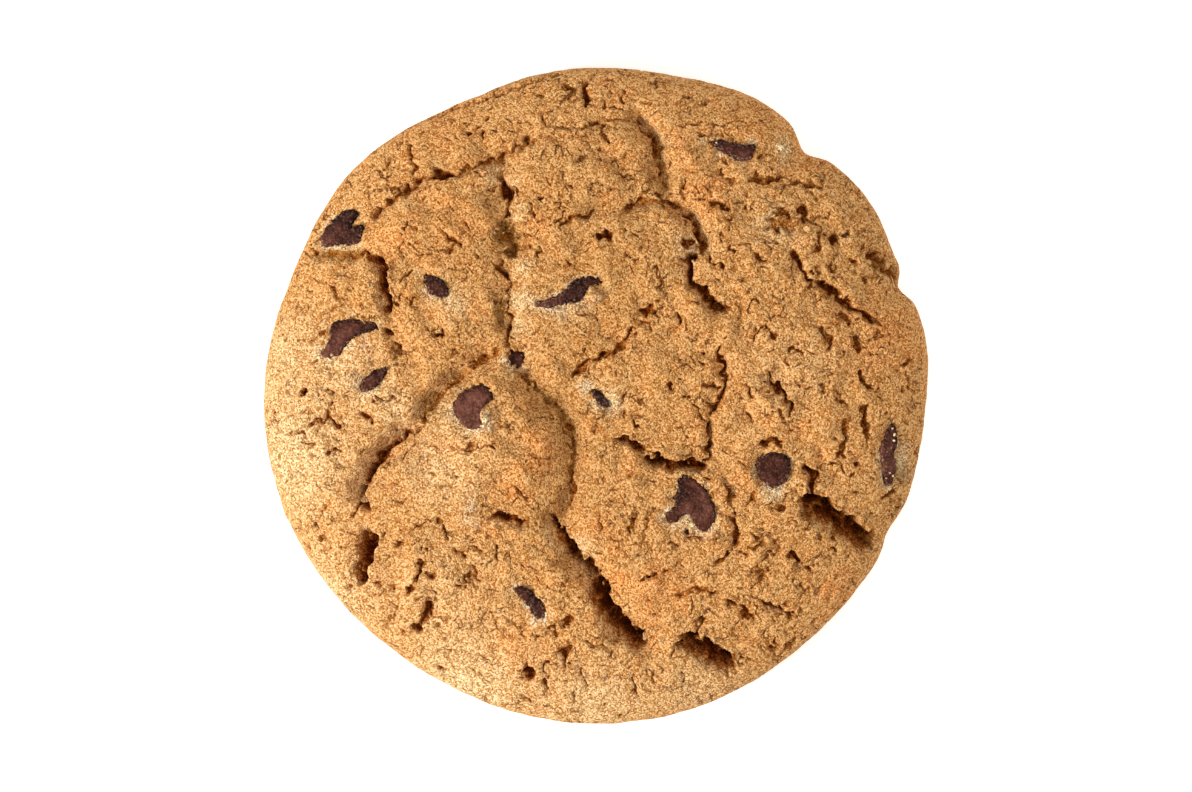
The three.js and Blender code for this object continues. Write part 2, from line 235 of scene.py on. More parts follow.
@dataclass(frozen=True)
class CookieForm:
    """The smooth body of the cookie: its outline, its dome and the rounding of its rim."""

    mean_radius: float = 45.0
    crown_height: float = 14.6
    waist_height: float = 5.2
    foot_share: float = 0.925
    dome_power: float = 3.4
    shoulder_power: float = 2.1
    rim_waves: tuple[RimWave, ...] = (
        RimWave(61, 8, 1.25), RimWave(49.5, 2.2, -1.6), RimWave(36, 6, 0.95), RimWave(19.5, 1.8, -1.3),
        RimWave(10, 7, 0.8), RimWave(115, 9, -0.9), RimWave(139, 7, 0.45), RimWave(159, 6, -0.35),
        RimWave(190, 17, 0.55), RimWave(238, 15, -0.55), RimWave(313, 17, -0.65), RimWave(335, 2.5, -0.7),
    )
    profile_steps: int = 900

    def rim_radius(self, bearing: np.ndarray) -> np.ndarray:
        """The rim's distance from the middle at a bearing in radians."""
        degrees = np.degrees(bearing)
        radius = np.full_like(degrees, self.mean_radius)
        for wave in self.rim_waves:
            off = (degrees - wave.bearing + 180) % 360 - 180
            radius += wave.out * bell(off, wave.spread * math.sqrt(2))
        return radius

    def profile(self) -> tuple[np.ndarray, np.ndarray, np.ndarray]:
        """The side profile, walked from the crown over the rim to the foot.

        Returns:
            The distance walked, the share of the rim's radius, and the height, at each step.
        """
        quarter = np.linspace(0, math.pi / 2, self.profile_steps)
        share = np.sin(quarter)
        fall = np.clip(1 - share**self.dome_power, 0, 1) ** (1 / self.shoulder_power)
        height = self.waist_height + (self.crown_height - self.waist_height) * fall
        curl = 1 - (1 - self.foot_share) * (1 - np.cos(quarter[1:]))
        out = np.clip((curl - self.foot_share) / (1 - self.foot_share), 0, 1)
        curl_height = self.waist_height * (1 - np.sqrt(1 - out * out))
        share = np.concatenate([share, curl])
        height = np.concatenate([height, curl_height])
        steps = np.hypot(np.diff(share * self.mean_radius), np.diff(height))
        return np.concatenate([[0.0], np.cumsum(steps)]), share, height

    def skin_length(self) -> float:
        """The length of the side profile, from the crown to the foot's edge."""
        return float(self.profile()[0][-1])

    def unroll(self, x: np.ndarray, y: np.ndarray) -> tuple[np.ndarray, np.ndarray]:
        """Carries plan positions on the top of the cookie to the unrolled sheet.

        A position outside the outline is carried as far down the side as it lies outside.

        Args:
            x: plan positions to the right.
            y: plan positions away.

        Returns:
            The same points' positions on the sheet.
        """
        walked, share, _ = self.profile()
        bearing = np.arctan2(y, x)
        own_share = np.clip(np.hypot(x, y) / self.rim_radius(bearing), 0, 1)
        distance = np.interp(own_share, share[: self.profile_steps], walked[: self.profile_steps])
        distance += np.maximum(np.hypot(x, y) - self.rim_radius(bearing), 0)
        return distance * np.cos(bearing), distance * np.sin(bearing)

    def skin(self, u: np.ndarray, v: np.ndarray) -> tuple[np.ndarray, np.ndarray, np.ndarray, np.ndarray]:
        """Lays points of the unrolled sheet on the body.

        Args:
            u: positions on the sheet to the right.
            v: positions on the sheet away.

        Returns:
            Points, outward normals, and the tangents along the sheet's way out and round.
        """
        walked, share, height = self.profile()
        distance = np.hypot(u, v)
        bearing = np.arctan2(v, u)
        own_share = np.interp(distance, walked, share)
        own_height = np.interp(distance, walked, height)
        radius = own_share * self.rim_radius(bearing)
        points = np.stack([radius * np.cos(bearing), radius * np.sin(bearing), own_height], -1)
        reach = 0.4
        run = self.mean_radius * (
            np.interp(distance + reach, walked, share) - np.interp(distance - reach, walked, share)
        )
        climb = np.interp(distance + reach, walked, height) - np.interp(distance - reach, walked, height)
        length = np.maximum(np.hypot(run, climb), 1e-6)
        run, climb = run / length, climb / length
        along = np.stack([run * np.cos(bearing), run * np.sin(bearing), climb], -1)
        across = np.stack([-np.sin(bearing), np.cos(bearing), np.zeros_like(bearing)], -1)
        normals = np.stack([-climb * np.cos(bearing), -climb * np.sin(bearing), run], -1)
        return points, normals, along, across


# ---------------------------------------------------------------- the unrolled sheet

class Sheet:
    """Square grids over the unrolled crust, with seeded noise and ways to draw on them."""

    def __init__(self, form: CookieForm, step: float, seed: int) -> None:
        """Lays out the grid.

        Args:
            form: the body that the sheet covers.
            step: grid spacing in millimetres.
            seed: where the random numbers start.
        """
        self.form = form
        self.step = step
        self.half = math.ceil(form.skin_length() + 1)
        self.count = int(round(2 * self.half / step)) + 1
        axis = np.linspace(-self.half, self.half, self.count)
        self.u, self.v = np.meshgrid(axis, axis)
        self.random = np.random.default_rng(seed)
        frequency = np.fft.fftfreq(self.count, step)
        self._frequency = np.hypot(frequency[None, : self.count // 2 + 1], frequency[:, None])
        self.raw_u, self.raw_v = self.u, self.v

    def noise(self, size: float, spread: float = 0.35) -> np.ndarray:
        """Smooth noise whose lumps have one size.

        Args:
            size: the distance between lumps in millimetres.
            spread: how much that distance varies, as a share.

        Returns:
            A grid with mean 0 and deviation 1.
        """
        white = np.fft.rfft2(self.random.standard_normal((self.count, self.count)))
        band = np.exp(-(((self._frequency * size - 1) / (spread * 2)) ** 2))
        made = np.fft.irfft2(white * band[:, : white.shape[1]], s=(self.count, self.count))
        return (made - made.mean()) / made.std()

    def ragged(self) -> np.ndarray:
        """Noise with lumps of several sizes, for torn edges."""
        return 0.7 * self.noise(2.4) + 0.5 * self.noise(1.1) + 0.35 * self.noise(0.55)

    def warp(self, coarse: float, fine: float) -> None:
        """Makes later lines ragged, by shifting where the sheet thinks each point is.

        Args:
            coarse: shift in millimetres with lumps of about 2 mm.
            fine: shift in millimetres with lumps of about 0.6 mm.
        """
        self.u = self.raw_u + coarse * self.noise(2.2) + fine * (self.noise(0.8) + 0.6 * self.noise(0.4))
        self.v = self.raw_v + coarse * self.noise(2.2) + fine * (self.noise(0.8) + 0.6 * self.noise(0.4))

    def window(self, points: np.ndarray, margin: float) -> Spot:
        """The rows and columns that hold some points and a margin round them."""
        low = np.floor((points.min(0) - margin + self.half) / self.step).astype(int)
        high = np.ceil((points.max(0) + margin + self.half) / self.step).astype(int) + 1
        low, high = np.clip(low, 0, self.count), np.clip(high, 0, self.count)
        return slice(low[1], high[1]), slice(low[0], high[0])

    def around(self, at: np.ndarray, margin: float) -> tuple[Spot, np.ndarray]:
        """The window round one point, and in it the distance from that point."""
        spot = self.window(at[None], margin)
        return spot, np.hypot(self.u[spot] - at[0], self.v[spot] - at[1])

    def from_line(self, line: np.ndarray, margin: float) -> tuple:
        """Measures the sheet near a line.

        Args:
            line: the line's points on the sheet.
            margin: how far from it to measure.

        Returns:
            The window, and in it the offset (positive on the line's left), the distance from the line's
            nearer end, and the unit direction to the left.
        """
        spot = self.window(line, margin)
        u, v = self.u[spot], self.v[spot]
        nearest = np.full(u.shape, np.inf)
        offset, walked = np.zeros_like(nearest), np.zeros_like(nearest)
        left_u, left_v = np.zeros_like(nearest), np.zeros_like(nearest)
        lengths = np.hypot(*np.diff(line, axis=0).T)
        total = lengths.sum()
        start = 0.0
        for (au, av), (bu, bv), length in zip(line[:-1], line[1:], lengths):
            du, dv = (bu - au) / length, (bv - av) / length
            t = np.clip((u - au) * du + (v - av) * dv, 0, length)
            distance = np.hypot(u - au - t * du, v - av - t * dv)
            side = np.where(du * (v - av) - dv * (u - au) >= 0, 1.0, -1.0)
            near = distance < nearest
            nearest = np.where(near, distance, nearest)
            offset = np.where(near, side * distance, offset)
            walked = np.where(near, start + t, walked)
            left_u, left_v = np.where(near, -dv, left_u), np.where(near, du, left_v)
            start += length
        return spot, offset, np.minimum(walked, total - walked), left_u, left_v

    def sample(self, grid: np.ndarray, u: np.ndarray, v: np.ndarray) -> np.ndarray:
        """Reads a grid between its points."""
        x = np.clip((u + self.half) / self.step, 0, self.count - 1.001)
        y = np.clip((v + self.half) / self.step, 0, self.count - 1.001)
        i, j = x.astype(int), y.astype(int)
        fx, fy = x - i, y - j
        top = grid[j, i] * (1 - fx) + grid[j, i + 1] * fx
        bottom = grid[j + 1, i] * (1 - fx) + grid[j + 1, i + 1] * fx
        return top * (1 - fy) + bottom * fy


# ---------------------------------------------------------------- cracks, troughs and other relief

class Bank(Enum):
    """Which bank of a crack broke off crisply, looking along its line; the other one slopes."""

    BOTH = 0
    LEFT = 1
    RIGHT = -1


@dataclass(frozen=True)
class Crack:
    """A crack in the crust: the line it follows, its width and depth, and the shape of its banks."""

    line: Line
    width: float
    depth: float
    crisp: Bank = Bank.BOTH
    slope: float = 0.35
    fade: float = 0.9

    @property
    def margin(self) -> float:
        """How far from its line the crack still shows."""
        return self.width / 2 + self.slope + 1.6


@dataclass(frozen=True)
class Trough:
    """A broad, soft valley between two plates of crust."""

    line: Line
    reach: float
    depth: float


@dataclass(frozen=True)
class Patch:
    """A round patch of another colour or another height."""

    at: tuple[float, float]
    reach: float
    amount: float


def patches(*rows: tuple[float, float, float, float]) -> tuple[Patch, ...]:
    """Patches from rows of place, reach and amount."""
    return tuple(Patch((x, y), reach, amount) for x, y, reach, amount in rows)


# Plates and humps that the crust rose into, with their height.
SWELLS = patches(
    (-23, 33, 7, 0.8), (-21, 23, 6, 0.9), (-3, 30, 6.5, 0.9), (5, 17, 6, 0.65), (8, 2, 6, 0.8), (26, 6, 9, 1),
    (-14, -7, 6.5, 1.9), (-36, -12, 6, 0.65), (6, -23, 6, 1.4), (-22, -24, 7, 0.8), (24, -24, 8, 0.8),
    (-5, 12, 4, 0.65),
)

TROUGHS = (
    Trough((-13, 32, -12, 25, -12.2, 17), 1.9, 1.2), Trough((-12.2, 17, -12, 8, -9.5, 2.5), 1.9, 1.2),
    Trough((-9.5, 2.5, -4.2, -3, -3, -8, -4.2, -16), 2, 2.1),
    Trough((-12, 6, -8, 1, -4, -4, -3, -9, -3.4, -13), 3, 1.4),
    Trough((-4.2, -16, -3, -21.5, 0.5, -26, 3.5, -31.5, 7, -34), 2, 2.4),
    Trough((6, 38.5, 8.4, 35, 9.2, 30, 9.6, 27.5, 12, 25.2, 14.6, 21.5), 1.5, 1.7),
    Trough((9.6, 27, 6, 26, 0, 25.6), 1.2, 1),
    Trough((-15, 5, -18.5, 2.6, -22.5, -1, -24.6, -4.6, -30, -8.4, -32, -12.5), 1.9, 2.1),
    Trough((14.6, 21.5, 12.8, 17.5, 16.5, 11.8, 17.3, 4, 15.6, -3, 15.6, -8), 1, 0.7),
    Trough((-27, 12, -26.6, 6, -24, 1), 1.4, 0.7),
)

# The large fissures, where whole plates of crust broke away from each other.
FISSURES = (
    # The long valley left of the middle, from the rim seam down to the lower edge.
    Crack((-13.2, 30.5, -12.7, 29.3, -12.2, 28, -11.9, 26.6, -11.9, 25.4), 1.1, 1.5, Bank.BOTH, 0.3, 1.6),
    Crack((-11.9, 26, -12, 25, -12.6, 24.2), 0.4, 1),
    Crack((-12.6, 24.4, -12, 22.6, -11.4, 20.8, -11, 18.6), 2.2, 1.1, Bank.BOTH, 0.3, 1.6),
    Crack((-14.1, 22.4, -12.6, 21.8, -11.2, 21, -9.6, 21.6), 2.4, 1.1, Bank.BOTH, 0.3, 1.7),
    Crack((-14.1, 18.5, -13, 17.5, -12.2, 16.8, -11.5, 16), 0.85, 1.1, Bank.RIGHT, 0.4),
    Crack((-11.7, 16.4, -11.8, 15, -11.9, 13.8), 0.35, 0.7),
    Crack((-12.9, 13.8, -13, 11.5, -12.8, 9.1), 1.5, 0.8, Bank.BOTH, 0.4, 1.2),
    Crack((-11.9, 14, -11.8, 11, -11.9, 8.5, -11.7, 6.2), 0.4, 0.9),
    Crack((-11.8, 4, -9, 2, -5, -1.5, -3.4, -4.5, -2.8, -8, -4, -11.5), 0.6, 0.7, Bank.RIGHT, 1.6),
    Crack((-6, -15.8, -5, -18.8, -3, -21.3, -1.5, -22.6, 0, -24, 0.8, -26.5), 1.2, 2, Bank.LEFT, 2),
    Crack((0.2, -25.6, 1.4, -28.8, 2.5, -30.4, 4.2, -32.1, 5.6, -33.4, 7.2, -33.9), 2.2, 3, Bank.LEFT, 1.4),
    Crack((-3.4, -9.5, -3, -13, -4.6, -16), 0.5, 0.8, Bank.LEFT, 1.2),
    # The valley right of the upper middle, and the spine of cracks that goes on from it.
    Crack((5.8, 38.8, 6.2, 37.4, 8.1, 35.6, 8.6, 34, 8.5, 32.2), 1.1, 1.3, Bank.RIGHT, 1),
    Crack((8.5, 32.8, 8.9, 31, 9.5, 28), 0.6, 0.7, Bank.RIGHT, 1),
    Crack((3.5, 25.3, 6, 26.5, 8, 27, 10, 26.5, 12, 25.5), 0.7, 0.8, Bank.LEFT, 1),
    Crack((11.7, 25.2, 12.8, 24.6, 13.8, 23.2, 14.5, 21.8, 14.8, 20.5, 14.5, 19.3), 1, 1.4, Bank.RIGHT, 1),
    Crack((14.4, 19.2, 12.5, 18.8, 12.9, 15.8, 14.3, 14.3, 15, 13, 16.2, 12.2, 18.5, 11.6), 1.2, 1.7,
          Bank.LEFT, 0.7),
    Crack((17.3, 7.3, 16.9, 5.4, 17.5, 4, 17.7, 2, 17.4, 0.5, 16.3, -1.7, 15.6, -3), 0.55, 1.2),
    Crack((15.6, -3, 15.3, -4.5, 15.7, -7.5, 15, -9), 0.6, 1.4, Bank.RIGHT, 0.4),
    # The valley that runs out to the left below the middle.
    Crack((-14.5, 5.2, -15.8, 4.8, -17.7, 4.3), 0.8, 0.8),
    Crack((-17.5, 3.2, -19, 2.2, -21, 0.5, -23.3, -2.2, -24, -4, -25, -5), 0.5, 0.9, Bank.LEFT, 1.8),
    Crack((-25, -5, -27, -5.5, -28, -6.5, -29.5, -8, -31, -10.2, -32, -12.5, -31.8, -14.3), 1.1, 2.1,
          Bank.LEFT, 1.7),
    Crack((-31.6, -11.6, -32, -12.8, -31.8, -14.3, -30.8, -15.8), 1.1, 1.5, Bank.LEFT, 0.5),
    Crack((-31.7, -13.8, -32.3, -15.2, -33, -16.4), 0.6, 1),
    # The seam between the rim's band and the plates, upper left.
    Crack((-31, 24.5, -30, 25.2, -28, 26.3, -27.2, 27.3, -25.5, 28, -24, 29.3, -22.5, 30, -20, 30), 0.36,
          1.1, Bank.LEFT, 1),
    Crack((-20, 30, -16, 31.6, -12, 33.5, -10, 34.3, -8.3, 35.7), 0.36, 1, Bank.LEFT, 1),
    Crack((-22.6, 29.9, -21.2, 30.2, -19.6, 30.1), 1.1, 2),
    Crack((-8.3, 35.7, -4, 35.3, 0, 35.1), 0.35, 0.4, Bank.LEFT, 0.7),
    Crack((-6.5, 36.8, -2, 36.7, 2, 37.8, 5.5, 38), 0.35, 0.5, Bank.LEFT, 0.5),
    # Upper left, beside the plates there.
    Crack((-30.5, 19.5, -29.5, 18, -29, 16.8, -29.4, 15.5, -29.2, 14, -28.5, 12.5, -28, 11), 1.4, 2.3,
          Bank.LEFT, 0.9),
    Crack((-29.8, 19.2, -28.8, 17.6, -28.6, 16), 0.8, 1.2, Bank.LEFT, 0.6),
    Crack((-29.1, 9.6, -28.3, 8.6, -28, 8), 0.8, 1.3),
    Crack((-27.5, 7.5, -26.5, 6, -27.5, 5), 0.7, 0.8, Bank.LEFT, 0.8),
    Crack((-39.5, 20, -37.5, 19.3, -35.5, 19.6, -34, 19.1, -32.5, 19.4, -31, 19.3), 0.9, 0.8, Bank.LEFT, 1.1),
    Crack((-39.3, 19.9, -38.2, 19.5), 0.5, 0.9), Crack((-32.4, 20, -31, 19.2, -30.2, 18.4), 0.6, 1),
    # Lower left.
    Crack((-30.7, -18, -31, -20, -31.6, -22.5, -32.1, -26), 1.9, 3.4, Bank.LEFT, 1.4),
    # The ledge right of the middle, and the pit beside it.
    Crack((2.2, -5.7, 3.5, -6, 5.7, -7.2, 7.2, -6.9), 0.8, 1.6, Bank.LEFT, 0.5),
    Crack((6.8, -8.6, 8.5, -8.9, 10, -9.4, 12, -9.6, 14, -9.7, 15.2, -9), 1.5, 2.8, Bank.LEFT, 0.8),
    Crack((17.3, -11, 18.2, -13, 18.4, -15), 0.9, 1, Bank.RIGHT, 1.2),
    # The deep trench at the right, with its feeder beside the chip.
    Crack((28.3, -9, 29.5, -11, 29.3, -12.5, 29.7, -13.8), 1.1, 2, Bank.LEFT, 0.4),
    Crack((28, -14.3, 30.5, -15.4, 32.5, -16.5, 34.5, -17.8, 36.5, -19.1, 38, -20.7), 2.9, 3.8, Bank.LEFT,
          1.3),
    # Upper right.
    Crack((26.5, 20, 27.2, 18.8, 28.3, 17.2, 29, 16, 30, 15.5), 0.7, 1.3, Bank.LEFT, 0.5),
    Crack((30, 15.5, 31.5, 14.7, 33.3, 13.2, 34.5, 12, 36.3, 11.5, 38, 9.6), 1.1, 1.5, Bank.LEFT, 0.6),
    # The trench at the lower edge.
    Crack((11.3, -32.9, 13, -33.6, 15, -34.8, 17, -36.2, 19.3, -37), 2.6, 3.6, Bank.LEFT, 1),
    # Below the middle left.
    Crack((-14.3, -16, -13, -16.6, -11.5, -17, -9, -17.3), 1.1, 1.8, Bank.LEFT, 1),
)

# Smaller cracks that stand out, each with its width and depth.
SMALL_CRACKS = (
    Crack((-25.3, 34.8, -25, 32, -24.3, 29.5), 0.5, 0.8), Crack((-1.8, 43, -1.5, 41, -1.2, 39.5), 0.9, 1.3),
    Crack((-8.2, 41.8, -7.3, 40.5), 0.3, 0.5), Crack((-7.5, 39, -6.6, 36.6), 0.4, 0.6),
    Crack((-5.2, 22.7, -4, 23.6, -3.2, 24.2, -1, 24.6, 0, 25.4), 0.45, 0.9, Bank.LEFT, 0.4),
    Crack((0, 27, 1.5, 27.8, 3.2, 28.4), 0.35, 0.6), Crack((-5.8, 18.1, -4.2, 18.4), 0.35, 0.5),
    Crack((20.5, 28.9, 22, 29.5, 25.5, 29.9, 26.8, 29.4, 29.5, 28.9, 31, 28.3), 0.45, 0.8),
    Crack((17, 30, 19.5, 29), 0.4, 0.5), Crack((15.3, 27, 16.8, 25.9, 18.8, 25.5), 0.7, 1.1),
    Crack((24.5, 25.5, 27, 24.3), 0.9, 1.2), Crack((24.3, 23, 25.5, 22.2), 0.9, 1.2),
    Crack((28.3, 26.4, 28.8, 24.8, 28.4, 23.2), 0.6, 1), Crack((29, 24.6, 30.2, 23), 0.5, 0.8),
    Crack((31.6, 22, 32.5, 21.4, 33.2, 20.2), 0.9, 1.2), Crack((19.7, 15.9, 20.4, 15.6), 0.5, 0.7),
    Crack((22.5, 9.8, 24, 8.6, 24.4, 7.4), 0.4, 0.7), Crack((29.5, 9.8, 31.2, 8.2, 32.2, 6.2), 0.45, 0.8),
    Crack((33, 11.8, 34.2, 10.4, 34.4, 9), 0.45, 0.8), Crack((20.3, 20.3, 22.4, 18.6, 24.1, 18), 0.4, 0.7),
    Crack((28.5, 14.5, 29.8, 15.2), 0.5, 0.8), Crack((32.2, 21.6, 32.9, 20.7), 0.8, 1),
    Crack((34.4, 18.9, 36, 17.6), 0.5, 0.8),
    Crack((36.8, 19.6, 38.2, 18.4, 39.7, 17.2, 41.8, 15.7), 1.3, 1, Bank.LEFT, 0.8),
    Crack((38.6, 20.3, 37.3, 18.3), 0.5, 0.9), Crack((41, 17, 41.7, 15.5), 0.8, 1.2),
    Crack((19.5, 20.5, 21.3, 21.1), 0.4, 0.6), Crack((19.6, 40.5, 19.3, 38.8), 0.35, 0.5),
    Crack((38.8, 8.7, 37.2, 7.7), 0.6, 0.8), Crack((35.3, 8.5, 36, 5.3), 0.5, 0.6),
    Crack((36.2, 3.8, 36.2, 2.5, 36.9, 1.3, 38, 0.5), 0.6, 1), Crack((38, 0.5, 38.4, 1.8), 0.4, 0.6),
    Crack((37.3, -0.8, 36.7, -2, 36.8, -4.5, 37, -6.5), 0.55, 0.9),
    Crack((34.5, -2.5, 33.8, -4.8, 34.1, -6, 33.2, -8, 34, -10), 0.4, 0.7),
    Crack((22.9, 3.6, 24.8, 1, 25.8, -0.5, 26.8, -1.8, 26.6, -2.8), 0.8, 1.5, Bank.LEFT, 0.5),
    Crack((-3, 2.2, -2.3, 3.5, -1.3, 4.5, 0.5, 5.3, 2.3, 5.9, 3.5, 7, 4.5, 8.3, 5.8, 9.6), 0.5, 1),
    Crack((6.3, 10.8, 7.3, 11.8, 8.8, 11.9), 0.8, 1), Crack((2.8, -2, 4.8, -2.8, 6.5, -3), 0.35, 0.5),
    Crack((-9.5, -0.5, -7.5, -2.5), 0.35, 0.4), Crack((-5.2, -2.2, -3.4, -5), 0.35, 0.4),
    Crack((-4.8, -7, -3.8, -8.3), 0.35, 0.4), Crack((22, -7, 24.3, -5.8, 26, -7.8), 0.7, 1.1),
    Crack((23.7, -15.2, 26.5, -15), 0.4, 0.9), Crack((34.5, -12.8, 36.5, -13.5), 0.4, 0.7),
    Crack((38.5, -14, 41.5, -12.8), 0.5, 0.8), Crack((-34, -25.8, -33.2, -27.3), 0.5, 0.7),
    Crack((-22.9, -20.5, -23.4, -21.2), 0.5, 0.7),
    Crack((-24.5, -22, -24, -23, -24.6, -25.3, -25.8, -27.3), 0.6, 1.1),
    Crack((-23, -27.5, -22.9, -28.8, -23.5, -30.5, -25.2, -32.3), 0.8, 1.3),
    Crack((-19.8, -20.5, -19, -21.3, -16.8, -21.5), 0.35, 0.6),
    Crack((-17.2, -23, -17, -24, -15.7, -25.8), 0.5, 0.8), Crack((-20.4, -22, -21, -23), 0.4, 0.6),
    Crack((-28.4, -30.8, -28.8, -31.9), 0.4, 0.6), Crack((-26.3, -31.6, -26.6, -32.7), 0.4, 0.6),
    Crack((-3, -30, -5, -31.5), 0.9, 1.2), Crack((-6, -31.8, -6.5, -32.2), 0.6, 0.9),
    Crack((-2.8, -34, -4.5, -35.2, -4.3, -37.5), 0.9, 1.4, Bank.LEFT, 0.7),
    Crack((18.2, -15.8, 19, -17.5, 19.1, -20.5), 0.9, 1.3, Bank.LEFT, 0.6),
    Crack((17.8, -20.5, 17.7, -21.8, 16, -23.2), 0.45, 0.9),
    Crack((19, -21.4, 20.5, -21.3, 20.6, -22.2), 0.5, 0.8), Crack((21, -21, 24, -19.3), 0.35, 0.6),
    Crack((24, -19.3, 25.2, -22), 0.35, 0.6), Crack((26, -21, 27.5, -22.4, 27, -23), 1.1, 1.5),
    Crack((27.8, -22.7, 30, -23.8), 0.5, 0.7), Crack((22, -23.8, 24, -25.8), 0.35, 0.5),
    Crack((28.3, -25.5, 29.2, -27), 0.35, 0.5), Crack((15.5, -26.3, 16.3, -27.3), 0.6, 0.9),
    Crack((17.8, -28, 20, -29, 21.7, -30.8), 0.55, 0.9),
    Crack((22.3, -27.8, 23.5, -28.6, 26, -29.4, 26.6, -31), 0.85, 1.4, Bank.LEFT, 0.4),
    Crack((27.5, -28.5, 28.5, -30), 0.4, 0.5), Crack((25.5, -32.2, 26.7, -32.8), 0.4, 0.6),
    Crack((22, -34.2, 25.3, -34.8), 0.35, 0.5), Crack((34.8, -24.6, 35.2, -26), 0.4, 0.7),
    Crack((1, -15.8, 2.8, -15.8), 0.3, 0.5), Crack((2.3, -17.2, 4.2, -17.3), 0.3, 0.5),
    Crack((6.3, -17, 7.5, -17), 0.35, 0.6), Crack((6.3, -20.4, 7.8, -19.8), 0.3, 0.5),
    Crack((8.7, -20.6, 12, -20), 0.3, 0.5), Crack((12, -19.5, 16, -18.8), 0.4, 0.8),
    Crack((6, -27.2, 9, -28), 0.3, 0.5), Crack((10, -27.7, 14.5, -26, 15.8, -26.7), 0.35, 0.6),
    Crack((7.9, -37.5, 8.2, -39.3), 0.4, 0.6), Crack((-39, -3.8, -36.7, -3, -34.7, -4.5), 0.6, 1),
    Crack((-36.7, -3, -36.5, -1.7), 0.4, 0.6), Crack((-32.5, -2, -30.3, -3.3), 0.6, 0.8),
    Crack((-37.3, 15.7, -36, 15, -34.9, 13), 0.35, 0.6), Crack((-21.3, 22.8, -18, 19.9), 0.45, 0.8),
    Crack((-19, -10.3, -18.3, -11.5), 0.35, 0.6), Crack((-16.9, -6.5, -16.6, -7.5), 0.35, 0.6),
    Crack((-23.2, 37.6, -20.1, 38.9, -15.2, 40.7, -11, 42.2, -7.5, 43.6, -4.5, 44.3), 0.7, 1.2),
)

# Pits: torn bubbles and holes in the crust, with their depth.
PITS = patches(
    (12.7, 20.8, 0.8, 1), (13.5, 20.2, 0.5, 0.7), (28.2, 25.5, 0.7, 1.3), (36.7, 15.8, 0.5, 0.9),
    (9.5, 13.5, 0.5, 0.6), (0.2, -4.4, 0.5, 0.6), (-9, -38, 0.9, 1.6), (-6.8, -36.5, 0.35, 0.9),
    (-39.8, 0.7, 0.8, 1.5), (1.1, 21.9, 0.8, 1.5), (1.8, 21.9, 0.6, 1.2), (-17.3, 35.8, 0.6, 1.3),
    (-21.4, 8.2, 0.45, 1.2), (-20.9, 8.8, 0.4, 1), (-20.1, -34.9, 0.35, 0.8), (-4.3, -35.3, 0.8, 1.3),
    (35.6, -9.3, 0.5, 1.2), (42, 0.8, 0.5, 0.8), (12.3, -18.5, 0.45, 1.2), (11.3, 2.3, 0.35, 0.6),
    (34.3, 22, 0.45, 0.6), (27, 23.6, 2, 0.6), (25, 23.8, 1.8, 0.7),
)

# Where the crust browned further; and where it is paler: partly pale crumb, partly painted light on places
# that face the key light.
TOASTED = patches(
    (-28.5, 21, 2.2, 0.8), (-17.5, 23, 1.5, 0.6), (-7.5, 23.5, 2, 0.8), (3, 32.5, 2.4, 0.5),
    (3, 41.5, 2.8, 0.4), (15, 28.5, 2.3, 0.9), (11.5, 33.5, 1.5, 0.5), (-19, -7, 1.8, 0.6),
    (-28.3, -12.3, 1.5, 0.6), (-8, -6, 2.2, 0.7), (-11, -12.8, 1.8, 0.9), (-14, -18, 1.8, 0.6),
    (0.3, -17.8, 1.8, 0.8), (2.8, -20, 1.4, 0.6), (3, -25, 1.9, 0.7), (7, -29.5, 1.8, 0.9), (9, -25, 3, 0.6),
    (20.5, -11.8, 1.8, 0.7), (27.5, -4.8, 1.4, 0.6), (31, -26.5, 1.5, 0.8), (-11, -35, 4, 0.5),
    (20, 37, 5, 0.4), (1.5, 9, 1.8, 0.4), (-8, -9, 1.6, 0.6), (30, 33, 6, 0.45), (40, 8, 6, 0.6),
    (34, -28, 5, 0.45), (-20, 36, 6, 0.35), (-20, 24, 5, 0.4),
)
PALE_AND_LIT = patches(
    (-10.3, 13, 1.5, 0.7), (-10.2, 17.3, 1.2, 0.6), (-10.5, 9.5, 1.3, 0.6), (-10.8, 25, 1.1, 0.6),
    (-11.2, 29, 0.9, 0.5), (-13.6, 31, 1, 0.25), (-1.8, -20.3, 1.3, 0.6), (-16.8, -14.5, 1, 0.35),
    (-17.2, -17, 0.9, 0.35), (-4, 12, 1.8, 0.5), (2.2, -0.6, 1.5, 0.8), (-1.2, 1.2, 1.2, 0.6),
    (24.2, -13.2, 1.5, 0.7), (12.5, -18.2, 1.6, 0.1), (41.5, -9, 1.8, 0.8), (25, 23.5, 2.4, 0.6),
    (25.5, 33.8, 1.2, 0.8), (12.8, 20.6, 1.6, 0.6), (-19.5, 12.5, 2, 0.5), (-42, -8, 8, 0.6),
    (-36, -27, 7, 0.5), (-18, -40, 8, 0.65), (-21, -10, 5, 0.32), (-22, -26, 6, 0.2), (27, 4, 6, 0.12),
    (-14, 29.4, 1.2, 0.5), (0, -43, 7, 0.4), (-43, 6, 6, 0.35), (14, -40, 5, 0.3), (-34, 4, 4, 0.3),
    (-20, -2, 3, 0.3), (-28, -1, 3, 0.4),
)
